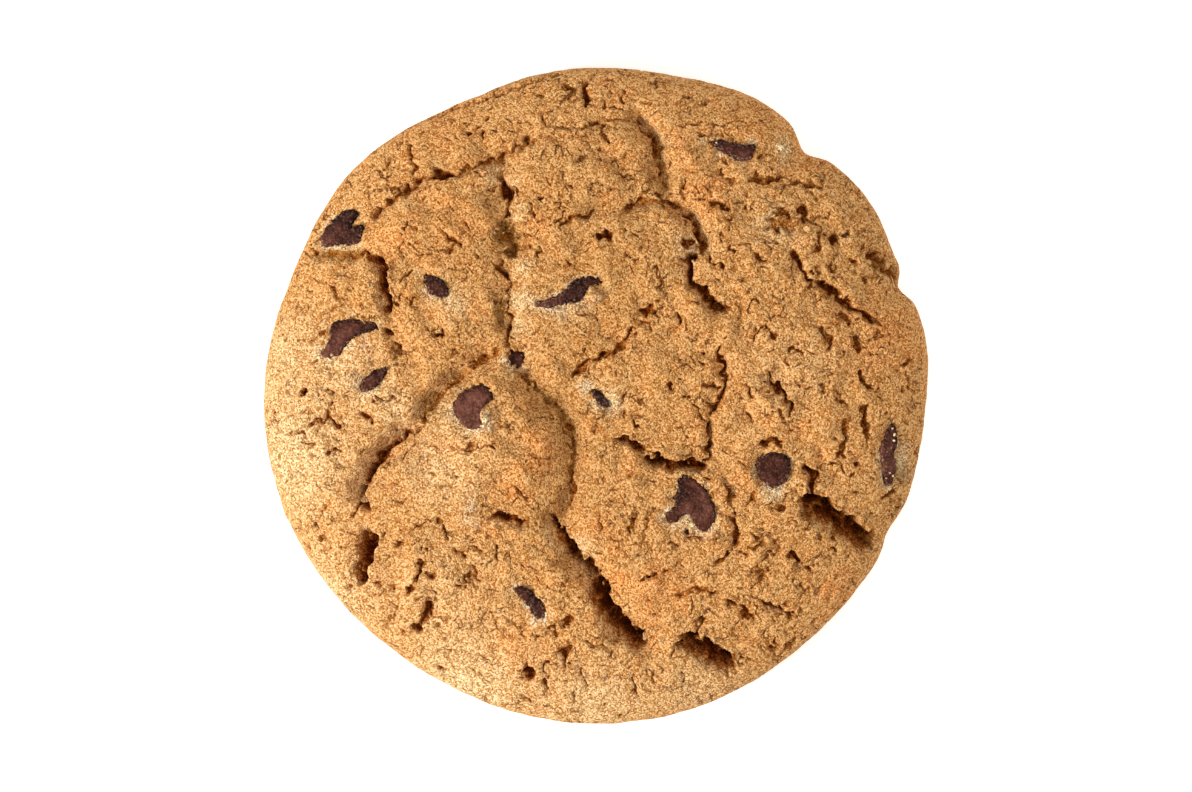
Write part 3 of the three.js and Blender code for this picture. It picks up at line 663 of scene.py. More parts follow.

# Hollows where the crumb stayed moist and brown, darkened partly as painted shade in the hollow.
MOIST_AND_SHADED = patches(
    (-11.9, 22, 1.2, 0.3), (-11.6, 20.2, 1, 0.3), (-12.9, 17.3, 0.8, 0.4), (-12.9, 11.3, 0.8, 0.3),
    (-12, 7.5, 0.9, 0.45), (-12.4, 28, 0.8, 0.7), (-10.5, 3.5, 1.5, 0.4), (-8.5, 1.2, 1.5, 0.35),
    (-6, -1, 2, 0.55), (-4.3, -3.8, 2, 0.6), (-17, -15.6, 1.2, 0.3), (32, 13.8, 1.2, 0.4),
    (38.4, 18.6, 1.2, 0.5), (10, -9.4, 1.4, 0.4), (2, -29.5, 1.5, 0.4), (-3.2, -7, 1.5, 0.6),
    (-3.2, -10.5, 1.4, 0.55), (-4, -14.5, 1.4, 0.5), (-19, 1.8, 1.4, 0.7), (-23, -1.6, 1.5, 1),
    (9, 29, 1.6, 0.5), (8.6, 32.5, 1.2, 0.4), (-4.5, -22, 1.8, 0.3), (32.5, -17.6, 2.2, 0.5),
    (-9, -18.3, 2, 0.4), (14.7, 20, 1, 0.4), (42, -10.5, 1.8, 0.8), (25, 23.5, 1.6, 0.5),
    (-38.3, 19.4, 1, 0.9), (-36.2, 19.2, 1, 0.9), (-34, 19.2, 0.9, 0.7), (-20, 23, 9, 0.22),
    (-2, 29, 8, 0.16), (-4, 9, 7, 0.2), (3, 18, 6, 0.2), (-20, 8, 6, 0.12), (4, -2, 8, 0.12),
    (0, -14, 7, 0.1), (-34, 13, 5, 0.1),
)

# Where chocolate and sugar dusted the crust: round some chips, and over one that stayed buried.
DUSTED = patches(
    (-17.4, -13.2, 0.8, 0.5), (-17.2, -15.4, 0.9, 0.65), (-16.5, -17.6, 0.8, 0.5), (12.6, -18, 1.2, 0.35),
    (14.5, -18.9, 0.7, 0.5), (24.4, -12.7, 1.1, 0.7), (30, -27, 0.4, 0.8), (-1.3, 1.5, 0.8, 0.6),
    (1.9, -1.7, 0.9, 0.6), (-5, 11.9, 1.3, 0.7), (-1.5, 12.2, 0.9, 0.5), (-14.8, -3.6, 0.9, 0.8),
    (-32.3, 1.6, 0.9, 0.6), (-22.9, 13.6, 0.8, 0.5), (25.6, 34, 0.9, 0.1), (20.3, 32.4, 0.7, 0.4),
    (-31.7, 6.9, 0.9, 0.5), (41.7, -7, 0.9, 0.4), (42.3, -10.8, 1, 0.5), (-8.6, -30.9, 0.5, 0.5),
)

# Where the skin broke into many small cracks as it set, with how busy each place is.
BUSY = patches(
    (24, -24, 14, 0.75), (29, 19, 16, 1), (-24, -24, 10, 0.75), (2, -38, 12, 0.4), (26, 2, 12, 0.5),
    (8, 37, 12, 0.45), (-25, 30, 8, 0.4), (-36, 0, 9, 0.4), (-26, 14, 5, 0.4), (6, 10, 7, 0.4),
    (5, -18, 7, 0.35),
)

# Places lighter (positive) and darker (negative) than the rest of a chip: partly bloom, partly painted light
# toward the key light and painted shade on the far side.
CHIP_BLOOM_AND_PAINTED_SHADING = patches(
    (-36.5, 21.2, 1.6, 0.6), (-32.6, 22.6, 1, -0.6), (-35.2, 24.8, 1.2, -0.3), (-36.5, 6.2, 1.8, 0.7),
    (-34.3, 8.2, 1.5, 0.35), (-36.3, 9, 0.7, -0.5), (-30.8, 9.2, 1, -0.4), (-30.9, 2.6, 0.6, 0.4),
    (-30, 1.7, 0.6, -0.5), (-22.8, 14.2, 0.8, 0.5), (-21.2, 14.6, 0.8, -0.2), (-6.9, 12.9, 1.7, 0.8),
    (-11.4, 5.3, 1.8, -0.55), (-35, 23, 3, -0.5), (-3, 14.8, 3, -0.8), (-22, 14.6, 2.5, -0.35),
    (0.5, -0.5, 2, -0.25), (-9, -29, 2.5, -0.2), (-34, 8, 3, -0.15), (40, -7, 3, 0.45),
    (-16.9, -1.4, 3.5, 0.9), (0.3, -0.2, 1.6, -0.4), (19.7, 33.2, 0.9, 0.5), (17.2, 34.6, 1, -0.5),
    (23.7, -9.4, 0.8, 0.5), (25.3, -9.8, 1.1, -0.5), (24.6, -7.6, 1.2, -0.5), (14.6, -14.5, 1.8, 0.6),
    (14.5, -17, 1.3, 0.6), (11.9, -13.5, 1.1, -0.6), (39.7, -10, 1.6, 0.3), (-8.3, -28.5, 0.8, -0.6),
    (-9.9, -27.4, 0.8, 0.35), (-8.4, -30, 0.6, 0.4),
)


@dataclass
class CrustRelief:
    """The crust's relief, browning, painted light and painted shade on the unrolled sheet, one grid for each.
    """

    form: CookieForm
    sheet: Sheet
    footprints: list["Footprint"]
    strokes: int = 1300
    pores: int = 420
    chip_sink: float = 1.5
    draught: float = 0.12
    height: np.ndarray = field(init=False)
    cut: np.ndarray = field(init=False)
    shift_u: np.ndarray = field(init=False)
    shift_v: np.ndarray = field(init=False)
    painted_shade: np.ndarray = field(init=False)
    toast: np.ndarray = field(init=False)
    pale_and_lit: np.ndarray = field(init=False)
    dust: np.ndarray = field(init=False)
    moist_and_shade: np.ndarray = field(init=False)
    cover: np.ndarray = field(init=False)
    fray: np.ndarray = field(init=False)
    swing: np.ndarray = field(init=False)
    nick_near: np.ndarray = field(init=False)
    nick_far: np.ndarray = field(init=False)

    def __post_init__(self) -> None:
        """Starts from a bare crust."""
        blank = np.zeros((self.sheet.count, self.sheet.count))
        reliefs = ("height", "cut", "shift_u", "shift_v", "cover")
        tones = ("painted_shade", "toast", "pale_and_lit", "dust", "moist_and_shade")
        for name in reliefs + tones:
            setattr(self, name, blank.copy())

    def on_sheet(self, line: Line) -> np.ndarray:
        """A plan line's points on the sheet, one row each."""
        plan = np.array(line, dtype=float).reshape(-1, 2)
        return np.stack(self.form.unroll(plan[:, 0], plan[:, 1]), -1)

    def carve(self, crack: Crack, line: np.ndarray) -> None:
        """Cuts one crack, deepest under its crisp bank, and paints shade into its core.

        Args:
            crack: its sizes.
            line: its points on the sheet.
        """
        spot, offset, end, left_u, left_v = self.sheet.from_line(line, crack.margin)
        near, far = self.nick_near[spot], self.nick_far[spot]
        fray, swing = self.fray[spot], self.swing[spot]
        length = np.hypot(*np.diff(line, axis=0).T).sum()
        taper = np.clip(end / min(crack.fade, length / 2), 0.03, 1) ** 0.6
        half = taper * (crack.width / 2 + 0.12 * min(crack.width, 1.0) * np.clip(swing, -1.5, 2))
        deep = 1.15 * crack.depth * taper * np.clip(0.9 + 0.2 * fray, 0.4, 1.25)
        nick = 0.04 + 0.05 * min(crack.width, 1.5)
        edge = 0.09
        toward = offset * crack.crisp.value if crack.crisp is not Bank.BOTH else np.abs(offset)
        toward = toward + nick * near
        core = 1 - smooth(half - 0.06, half + 0.09, toward)
        if crack.crisp is Bank.BOTH:
            shape = 1 - smooth(half - edge, half + edge + crack.slope * 0.4, toward)
        else:
            away = nick * far - offset * crack.crisp.value
            shape = 1 - smooth(half - edge, half + edge, toward)
            shape *= 1 - smooth(-0.3 * half, half + crack.slope, away)
            broad = float(smooth(1.3, 2.0, crack.width))
            hidden = 0.12 * broad * deep
            core *= 1 - smooth(0.7 * hidden, half + (0.2 + 0.4 * broad) * crack.slope + hidden, away)
            self.pale_and_lit[spot] += 0.9 * shape * (1 - shape) * smooth(0.4, 1.4, deep)
            self.height[spot] += 0.09 * deep * bell(toward - half - 0.5, 0.55) * (toward > half)
        # The torn wall crumbles: lumps stand out of it and others fell away.
        made = deep * shape * (1 + 0.4 * (1 - shape) * far)
        lean = self.draught * crack.crisp.value
        deeper = made > self.cut[spot]
        for grid, values in ((self.shift_u, lean * made * left_u), (self.shift_v, lean * made * left_v)):
            grid[spot] = np.where(deeper, values, grid[spot])
        raise_to(self.cut, spot, made)
        steepness = deep / (crack.width + 0.25 * crack.slope)
        # Painted shade in the crack's core, darker where it is deep and steep.
        dark = core * smooth(0.02, 0.9, deep) * smooth(0.25, 1.2, steepness)
        dark *= np.clip(0.9 + 0.1 * far, 0.6, 1.1) * min(1.0, 0.65 + 0.35 * crack.width)
        raise_to(self.painted_shade, spot, dark)
        # Moist crumb brown on the floor of a wide crack, partly painted shade there.
        floor = 0.85 * core * smooth(0.3, 0.9, deep) * (1 - smooth(0.5, 1.2, steepness))
        raise_to(self.moist_and_shade, spot, floor)

    def swell(self) -> None:
        """Raises the plates and sinks the troughs, as broad soft shapes."""
        u, v = self.sheet.u, self.sheet.v
        for swell in SWELLS:
            (at,) = self.on_sheet(swell.at)
            self.height += swell.amount * bell(np.hypot(u - at[0], v - at[1]), swell.reach)
        sunk = np.zeros_like(self.height)
        for trough in TROUGHS:
            spot, offset, *_ = self.sheet.from_line(self.on_sheet(trough.line), 3 * trough.reach)
            raise_to(sunk, spot, trough.depth * bell(offset, trough.reach))
        self.height -= sunk
        top = 1 - 0.85 * smooth(37.0, 43.5, np.hypot(u, v))
        self.height += top * (0.22 * self.sheet.noise(7.0) + 0.085 * self.sheet.noise(3.2))
        self.height += top * (0.02 * self.sheet.noise(1.5) + 0.05 * np.abs(self.sheet.noise(3.0)))

    def crack(self) -> None:
        """Opens the named cracks and the pits, and paints shade into them."""
        self.fray, self.swing = self.sheet.noise(2.4), self.sheet.noise(3.2)
        self.nick_near, self.nick_far = self.sheet.ragged(), self.sheet.ragged()
        for crack in FISSURES + SMALL_CRACKS:
            self.carve(crack, self.on_sheet(crack.line))
        for pit in PITS:
            spot, distance = self.sheet.around(self.on_sheet(pit.at)[0], pit.reach + 0.8)
            distance = distance + 0.08 * self.nick_near[spot]
            made = pit.amount * (1 - smooth(pit.reach * 0.6, pit.reach + 0.1, distance))
            raise_to(self.cut, spot, made)
            # Painted shade in the pit, darker where it is deeper.
            raise_to(self.painted_shade, spot, smooth(0.2, 1.4, made))

    def craze(self) -> None:
        """Scatters short cracks and pores over the whole crust."""
        random = self.sheet.random
        skin = self.form.skin_length()

        def way(bearing: float) -> np.ndarray:
            """The unit step along a bearing."""
            return np.array([math.cos(bearing), math.sin(bearing)])

        for _ in range(self.strokes):
            distance, bearing = skin * math.sqrt(random.random()) * 0.95, random.random() * math.tau
            middle = distance * way(bearing)
            busy = max(patch.amount * bell(np.hypot(*(middle - patch.at)), patch.reach) for patch in BUSY)
            if random.random() > 0.25 + busy:
                continue
            heading = random.random() * math.tau
            steps = [middle]
            turn = random.choice((-1, 1))
            for _ in range(random.integers(2, 7)):
                heading += turn * random.uniform(0.2, 0.9)
                turn = -turn if random.random() < 0.75 else turn
                steps.append(steps[-1] + random.uniform(0.4, 0.9) * way(heading))
            wide = random.uniform(0.15, 0.3)
            self.carve(Crack((), wide, wide * random.uniform(1.8, 3.2), slope=0.1, fade=0.5), np.array(steps))
        for _ in range(self.pores):
            distance, bearing = skin * math.sqrt(random.random()), random.random() * math.tau
            reach = random.uniform(0.12, 0.28)
            spot, away = self.sheet.around(distance * way(bearing), 3 * reach)
            raise_to(self.cut, spot, random.uniform(0.15, 0.45) * bell(away, reach))
            # Painted shade in the pore.
            raise_to(self.painted_shade, spot, random.uniform(0.1, 0.6) * bell(away, reach))

    def seat_chips(self) -> None:
        """Lets the chips in: the dough goes under each one, and is paler and a little sunk round it."""
        rag = 0.14 * self.sheet.noise(0.9) + 0.08 * self.sheet.noise(0.45)
        blotch = self.sheet.noise(2.6)
        for footprint in self.footprints:
            spot, inside = footprint.on_sheet(self.form, self.sheet, 4.0)
            covered = 1 - smooth(-0.45, 0.0, inside + rag[spot])
            raise_to(self.cover, spot, covered)
            (centre,) = self.on_sheet(footprint.centre)
            off_u, off_v = self.sheet.raw_u[spot] - centre[0], self.sheet.raw_v[spot] - centre[1]
            lee = smooth(-0.4, 0.9, -(0.35 * off_u + 0.94 * off_v) / np.maximum(np.hypot(off_u, off_v), 0.1))
            clear = smooth(0.0, 1.2, inside)
            for grid, least in ((self.cut, 0.15), (self.painted_shade, 0.3), (self.shift_u, 0), (self.shift_v, 0)):
                grid[spot] *= np.maximum(clear, least)
            self.height[spot] -= self.chip_sink * covered + 0.3 * bell(np.maximum(inside, 0), 0.9)
            # The pale halo and the sugar are real, but they are laid mostly on the lower side, toward the key
            # light, so they are partly painted light.
            halo = np.clip(0.3 * blotch[spot] + 0.5 * lee - 0.05, 0.0, 0.8)
            self.pale_and_lit[spot] += halo * bell(np.maximum(inside - 0.1, 0), 0.9)
            sugar = np.clip(0.25 * blotch[spot] + 0.65 * lee - 0.1, 0, 0.7)
            self.dust[spot] += sugar * bell(np.maximum(inside, 0), 0.4)

    def grain(self) -> None:
        """Adds the sandy grain, coarser where the crust is torn open and the crumb shows."""
        torn = smooth(0.25, 1.2, self.cut)
        fine, coarse = self.sheet.noise(0.42), self.sheet.noise(0.9)
        self.height += 0.004 * coarse
        self.height += torn * (0.06 * coarse + 0.04 * fine)
        self.height -= self.cut

    def brown(self) -> None:
        """Browns the crust: more on high plates and in patches, less in hollows and round the chips."""
        tables = ((self.toast, TOASTED), (self.pale_and_lit, PALE_AND_LIT), (self.moist_and_shade, MOIST_AND_SHADED), (self.dust, DUSTED))
        for grid, places in tables:
            for patch in places:
                spot, away = self.sheet.around(self.on_sheet(patch.at)[0], 3 * patch.reach)
                grid[spot] += patch.amount * bell(away, patch.reach)
        self.toast += 0.12 * self.sheet.noise(5.0) + 0.08 * self.sheet.noise(2.0)
        low = self.form.skin_length() - np.hypot(self.sheet.raw_u, self.sheet.raw_v)
        self.toast += 0.7 * (1 - smooth(0.5, 5.0, low))

    def settle(self) -> None:
        """Fades the relief out near the foot, where the cookie lay flat on its tray."""
        distance = np.hypot(self.sheet.raw_u, self.sheet.raw_v)
        keep = 1 - smooth(self.form.skin_length() - 3.0, self.form.skin_length() - 0.2, distance)
        for grid in (self.height, self.shift_u, self.shift_v):
            grid *= keep

    def build(self) -> "CrustRelief":
        """Makes the whole relief in order."""
        self.swell()
        self.sheet.warp(0.2, 0.05)
        self.crack()
        self.craze()
        self.seat_chips()
        self.brown()
        self.grain()
        self.settle()
        return self

    def surface(self, u: np.ndarray, v: np.ndarray) -> np.ndarray:
        """Points of the finished crust, in millimetres, at places on the sheet."""
        points, normals, along, across = self.form.skin(u, v)
        rise = self.sheet.sample(self.height, u, v)
        su, sv = self.sheet.sample(self.shift_u, u, v), self.sheet.sample(self.shift_v, u, v)
        bearing = np.arctan2(v, u)
        outward = su * np.cos(bearing) + sv * np.sin(bearing)
        round_ = -su * np.sin(bearing) + sv * np.cos(bearing)
        points = points + rise[:, None] * normals + outward[:, None] * along + round_[:, None] * across
        points[:, 2] = np.maximum(points[:, 2], 0)
        return points


# ---------------------------------------------------------------- chips

@dataclass
class Footprint:
    """The outline of a chip seen from above, read from its CAD node."""

    node: str
    segments: np.ndarray

    @property
    def centre(self) -> tuple[float, float]:
        """The middle of the outline."""
        return tuple(self.segments.reshape(-1, 2).mean(0))

    @classmethod
    def of(cls, node: str, middle: Vector) -> "Footprint":
        """Reads the outline of a node's upper face.

        Args:
            node: the CAD node's name.
            middle: the middle of the cookie in metres.

        Returns:
            The footprint, in millimetres from the middle.
        """
        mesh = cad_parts[node].data
        mesh.calc_loop_triangles()
        points = np.array([vertex.co for vertex in mesh.vertices]) / MM - np.array(middle) / MM
        keys = {}
        merged = [keys.setdefault(tuple(np.round(point, 3)), len(keys)) for point in points]
        spots = np.array(list(keys))
        edges: dict[tuple[int, int], int] = {}
        for triangle in mesh.loop_triangles:
            if triangle.normal.z < 0.55:
                continue
            corners = [merged[i] for i in triangle.vertices]
            for a, b in zip(corners, corners[1:] + corners[:1]):
                edges[tuple(sorted((a, b)))] = edges.get(tuple(sorted((a, b))), 0) + 1
        outline = [edge for edge, uses in edges.items() if uses == 1]
        return cls(node, np.array([[spots[a][:2], spots[b][:2]] for a, b in outline]))

    @staticmethod
    def signed(x: np.ndarray, y: np.ndarray, segments: np.ndarray) -> np.ndarray:
        """The distance from an outline, negative inside it."""
        nearest = np.full(x.shape, np.inf)
        crossings = np.zeros(x.shape, dtype=int)
        for (ax, ay), (bx, by) in segments:
            dx, dy = bx - ax, by - ay
            t = np.clip(((x - ax) * dx + (y - ay) * dy) / max(dx * dx + dy * dy, 1e-9), 0, 1)
            nearest = np.minimum(nearest, np.hypot(x - ax - t * dx, y - ay - t * dy))
            if ay != by:
                spans = (ay > y) != (by > y)
                crossings += spans & (x < ax + (y - ay) * dx / dy)
        return np.where(crossings % 2 == 1, -nearest, nearest)

    def on_sheet(self, form: CookieForm, sheet: Sheet, margin: float) -> tuple[Spot, np.ndarray]:
        """The window round the chip on the sheet, and the signed distance in it."""
        flat = self.segments.reshape(-1, 2)
        laid = np.stack(form.unroll(flat[:, 0], flat[:, 1]), -1)
        spot = sheet.window(laid, margin)
        return spot, self.signed(sheet.raw_u[spot], sheet.raw_v[spot], laid.reshape(-1, 2, 2))


@dataclass
class Chip:
    """One chocolate chip, grown from its CAD node and softened as the oven left it."""

    node: str
    footprint: Footprint
    middle: Vector
    seed: int
    voxel: float = 0.12
    smoothing: int = 7
    ripple: float = 0.12

    def build(self) -> bpy.types.Object:
        """Makes the chip's body.

        Returns:
            The piece, in the CAD node's place.
        """
        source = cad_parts[self.node]
        body = bpy.data.objects.new(self.node.replace("chip_", "chocolate_chip_"), source.data.copy())
        bpy.context.scene.collection.objects.link(body)
        apply_modifier(body, "REMESH", mode="VOXEL", voxel_size=self.voxel * MM, use_smooth_shade=True)
        apply_modifier(body, "SMOOTH", factor=0.6, iterations=self.smoothing)
        points, normals = per_vertex(body), per_vertex(body, "vertex_normals", "vector")
        random = np.random.default_rng(self.seed)
        local = points / MM
        wave = np.zeros(len(local))
        for size, share in ((3.0, 1.0), (1.5, 0.7), (0.8, 0.4), (0.45, 0.22)):
            for _ in range(5):
                way = random.standard_normal(3)
                way *= math.tau / size / np.linalg.norm(way)
                wave += share * np.sin(local @ way + random.random() * math.tau)
        points += normals * (wave * self.ripple * 0.45 * MM)[:, None]
        set_vertices(body, points)
        plan = local - np.array(self.middle) / MM
        inside = self.footprint.signed(plan[:, 0], plan[:, 1], self.footprint.segments)
        tones = np.zeros(len(plan))
        for tone in CHIP_BLOOM_AND_PAINTED_SHADING:
            away = np.hypot(plan[:, 0] - tone.at[0], plan[:, 1] - tone.at[1])
            tones += tone.amount * bell(away, tone.reach)
        off = plan[:, :2] - np.array(self.footprint.centre)
        lee = smooth(0.0, 0.9, off @ (0.5, 0.86) / np.maximum(np.hypot(*off.T), 0.1))
        edge = smooth(-0.5, 0.0, inside)
        # Painted shade along the chip's edge, strongest on its upper right, away from the key light.
        tones = tones - smooth(-0.7, -0.15, inside) * (0.1 + 0.75 * lee)
        store(body, "edge", edge)
        # Crumb dust along the edge, heaviest on the lower left toward the key light, where it also stands as
        # painted light.
        store(body, "dust", edge * (1 - 0.8 * lee))
        store(body, "tone", tones)
        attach(body, "root")
        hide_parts(self.node)
        return body


# ---------------------------------------------------------------- the dough

@dataclass
class Dough:
    """The body of the cookie: one closed skin with all its relief."""

    relief: CrustRelief
    middle: Vector
    spacing: float
    most_faces: int = 196000
    foot_rings: int = 14

    def skin_sheet(self) -> tuple[np.ndarray, np.ndarray, np.ndarray]:
        """Spreads points over the sheet in even rings, and joins them with triangles.

        Returns:
            The points' places on the sheet, and the triangles.
        """
        rings = int(round(self.relief.form.skin_length() / self.spacing))
        pitch = self.relief.form.skin_length() / rings
        starts = np.array([0] + [1 + 3 * k * (k - 1) for k in range(1, rings + 2)])
        us, vs = [np.zeros(1)], [np.zeros(1)]
        faces = []
        for k in range(1, rings + 1):
            bearing = math.tau * np.arange(6 * k) / (6 * k)
            us.append(k * pitch * np.cos(bearing))
            vs.append(k * pitch * np.sin(bearing))
            i = np.arange(6 * k)
            sector, step = i // k, i % k
            outer, outer_next = starts[k] + i, starts[k] + (i + 1) % (6 * k)
            below = max(6 * (k - 1), 1)
            inner = starts[k - 1] + (sector * (k - 1) + step) % below
            faces.append(np.stack([inner, outer, outer_next], -1))
            inside = step < k - 1
            inner_next = starts[k - 1] + (sector * (k - 1) + step + 1) % below
            faces.append(np.stack([inner, outer_next, inner_next], -1)[inside])
        self._rim_start, self._rim_count = int(starts[rings]), 6 * rings
        return np.concatenate(us), np.concatenate(vs), np.concatenate(faces)

    def foot(self, points: np.ndarray) -> tuple[np.ndarray, np.ndarray]:
        """Closes the skin underneath with a nearly flat, lightly pitted foot.

        Args:
            points: the skin's points, the last ring of which is the foot's edge.

        Returns:
            The further points and triangles.
        """
        edge = points[self._rim_start : self._rim_start + self._rim_count]
        count, first = self._rim_count, len(points)
        numbers = [self._rim_start + np.arange(count)]
        added = []
        for ring in range(1, self.foot_rings):
            share = 1 - ring / self.foot_rings
            made = edge * (share, share, 0)
            made[:, 2] = 0.05 + 0.04 * np.sin(made[:, 0] * 1.3) * np.cos(made[:, 1] * 1.7)
            numbers.append(first + (ring - 1) * count + np.arange(count))
            added.append(made)
        added.append(np.array([[0.0, 0.0, 0.05]]))
        centre = first + (self.foot_rings - 1) * count
        faces = []
        for outer, inner in zip(numbers[:-1], numbers[1:]):
            faces.append(np.stack([outer, inner, np.roll(outer, -1)], -1))
            faces.append(np.stack([inner, np.roll(inner, -1), np.roll(outer, -1)], -1))
        last = numbers[-1]
        faces.append(np.stack([last, np.full(count, centre), np.roll(last, -1)], -1))
        return np.concatenate(added), np.concatenate(faces)

    def build(self) -> bpy.types.Object:
        """Makes the dough and stores on it each point's painted shade, paleness with painted light, toasting,
        dust, and moist crumb with painted shade.
        """
        u, v, faces = self.skin_sheet()
        points = self.relief.surface(u, v)
        more_points, more_faces = self.foot(points)
        points = np.concatenate([points, more_points]) * MM + np.array(self.middle)
        body = mesh_object("cookie_dough", points, np.concatenate([faces, more_faces]))
        foot = np.ones(len(more_points))
        for name, browned in (("painted_shade", 0.0), ("pale_and_lit", 0.0), ("toast", 0.9), ("dust", 0.0), ("moist_and_shade", 0.0)):
            skin = self.relief.sheet.sample(getattr(self.relief, name), u, v)
            store(body, name, np.concatenate([skin, browned * foot]))
        share = self.most_faces / len(body.data.polygons)
        if share < 1:
            apply_modifier(body, "DECIMATE", ratio=share)
        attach(body, "root")
        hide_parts("dough")
        return body


# ---------------------------------------------------------------- loose bits

# Crumbs that stand out: their place, their half width, and how pale they are.
CRUMBS = patches(
    (7, -33.6, 0.5, 0.6), (9, -33.5, 0.45, 0.3), (20, -37.6, 0.4, 0.4), (17.7, -38.5, 0.35, 0.3),
    (25.2, 33.9, 0.6, 1), (26.2, 33.5, 0.5, 1), (25.7, 34.4, 0.35, 0.9), (24.6, 33.3, 0.3, 0.8),
    (-0.4, 13.7, 1, 0.2), (-1.3, 13.1, 0.5, 0.4), (-15, -3.2, 0.55, 0.9), (-15.3, -4.1, 0.35, 1),
    (-14.8, -2.3, 0.35, 0.8), (-14.5, -4.5, 0.3, 0.9), (40.5, -4.4, 0.14, 0.8), (40.7, -5.3, 0.2, 0.9),
    (40.9, -5.7, 0.13, 0.9), (40.6, -6.1, 0.16, 0.9), (40.95, -6.4, 0.22, 0.9), (40.7, -6.8, 0.12, 0.9),
    (40.2, -7.1, 0.15, 0.8), (40.8, -7.5, 0.2, 0.9), (39.6, -7.6, 0.12, 0.8), (40.4, -8.3, 0.16, 0.8),
    (40.75, -8.7, 0.12, 0.9), (39.9, -9.3, 0.15, 0.7), (40.1, -10.4, 0.2, 0.9), (39.7, -11.2, 0.14, 0.9),
    (40.5, -10.9, 0.16, 0.9), (42, -8.4, 0.22, 0.9), (-13.2, -29.2, 0.3, 0.6), (13.1, -17.6, 0.4, 1),
    (12.4, -17.2, 0.3, 1), (24.4, -12.9, 0.3, 0.9),
)

# Bits of chocolate too small to be chips.
SPECKS = patches(
    (12.3, -18.5, 0.5, 0), (11.3, 2.3, 0.3, 0), (34.3, 22, 0.45, 0), (35.6, -9.3, 0.5, 0), (42, 0.8, 0.35, 0),
)


@dataclass
class LooseBits:
    """Small angular lumps that lie on the crust, all joined in one piece."""

    name: str
    slot: str
    relief: CrustRelief
    middle: Vector
    lumps: tuple[Patch, ...]
    scattered: int = 0
    seed: int = 31
    flatness: float = 0.7

    def scatter(self, random: np.random.Generator) -> list[Patch]:
        """Strews further small lumps where the crust is broken open and round the chips."""
        sheet = self.relief.sheet
        likely = smooth(0.3, 1.2, self.relief.cut) + 0.5 * self.relief.dust
        likely *= np.hypot(sheet.raw_u, sheet.raw_v) < sheet.form.skin_length() * 0.85
        ladder = np.cumsum(likely.ravel())
        picked = np.searchsorted(ladder, random.random(self.scattered) * ladder[-1])
        places = np.stack([sheet.raw_u.ravel()[picked], sheet.raw_v.ravel()[picked]], -1)
        return [Patch(tuple(at), random.uniform(0.1, 0.24), random.uniform(0.1, 0.9)) for at in places]

    def build(self) -> bpy.types.Object:
        """Makes the piece."""
        random = np.random.default_rng(self.seed)
        bare = bmesh.new()
        bmesh.ops.create_icosphere(bare, subdivisions=2, radius=1.0)
        ball = np.array([vertex.co for vertex in bare.verts])
        triangles = np.array([[vertex.index for vertex in face.verts] for face in bare.faces])
        bare.free()
        on_sheet = self.relief.on_sheet
        named = [Patch(tuple(on_sheet(lump.at)[0]), lump.reach, lump.amount) for lump in self.lumps]
        points, faces, paleness, painted_lump_shade = [], [], [], []
        for lump in named + self.scatter(random):
            spot = np.array([lump.at]).T
            seat = self.relief.surface(*spot)[0]
            outward = self.relief.form.skin(*spot)[1][0]
            uneven = 1 + 0.3 * np.sin(ball @ random.standard_normal(3) * 2.4 + random.random() * math.tau)
            uneven += 0.15 * random.standard_normal(len(ball))
            size = lump.reach * np.array([*random.uniform(0.8, 1.25, 2), self.flatness])
            seat[2] += 0.45 * lump.reach * self.flatness
            seat += 1.9 * float(self.relief.sheet.sample(self.relief.cover, *spot)[0]) * outward
            faces.append(triangles + len(ball) * len(points))
            points.append(ball * uneven[:, None] * size + seat)
            paleness.append(np.full(len(ball), lump.amount))
            # Painted shade on a lump that lies in a crack.
            dark = 0.8 * float(self.relief.sheet.sample(self.relief.painted_shade, *spot)[0])
            painted_lump_shade.append(np.full(len(ball), dark))
        places = np.concatenate(points) * MM + np.array(self.middle)
        body = mesh_object(self.name, places, np.concatenate(faces))
        store(body, "pale_and_lit", np.concatenate(paleness))
        store(body, "painted_shade", np.concatenate(painted_lump_shade))
        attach(body, "root")
        return body


# ---------------------------------------------------------------- finishes

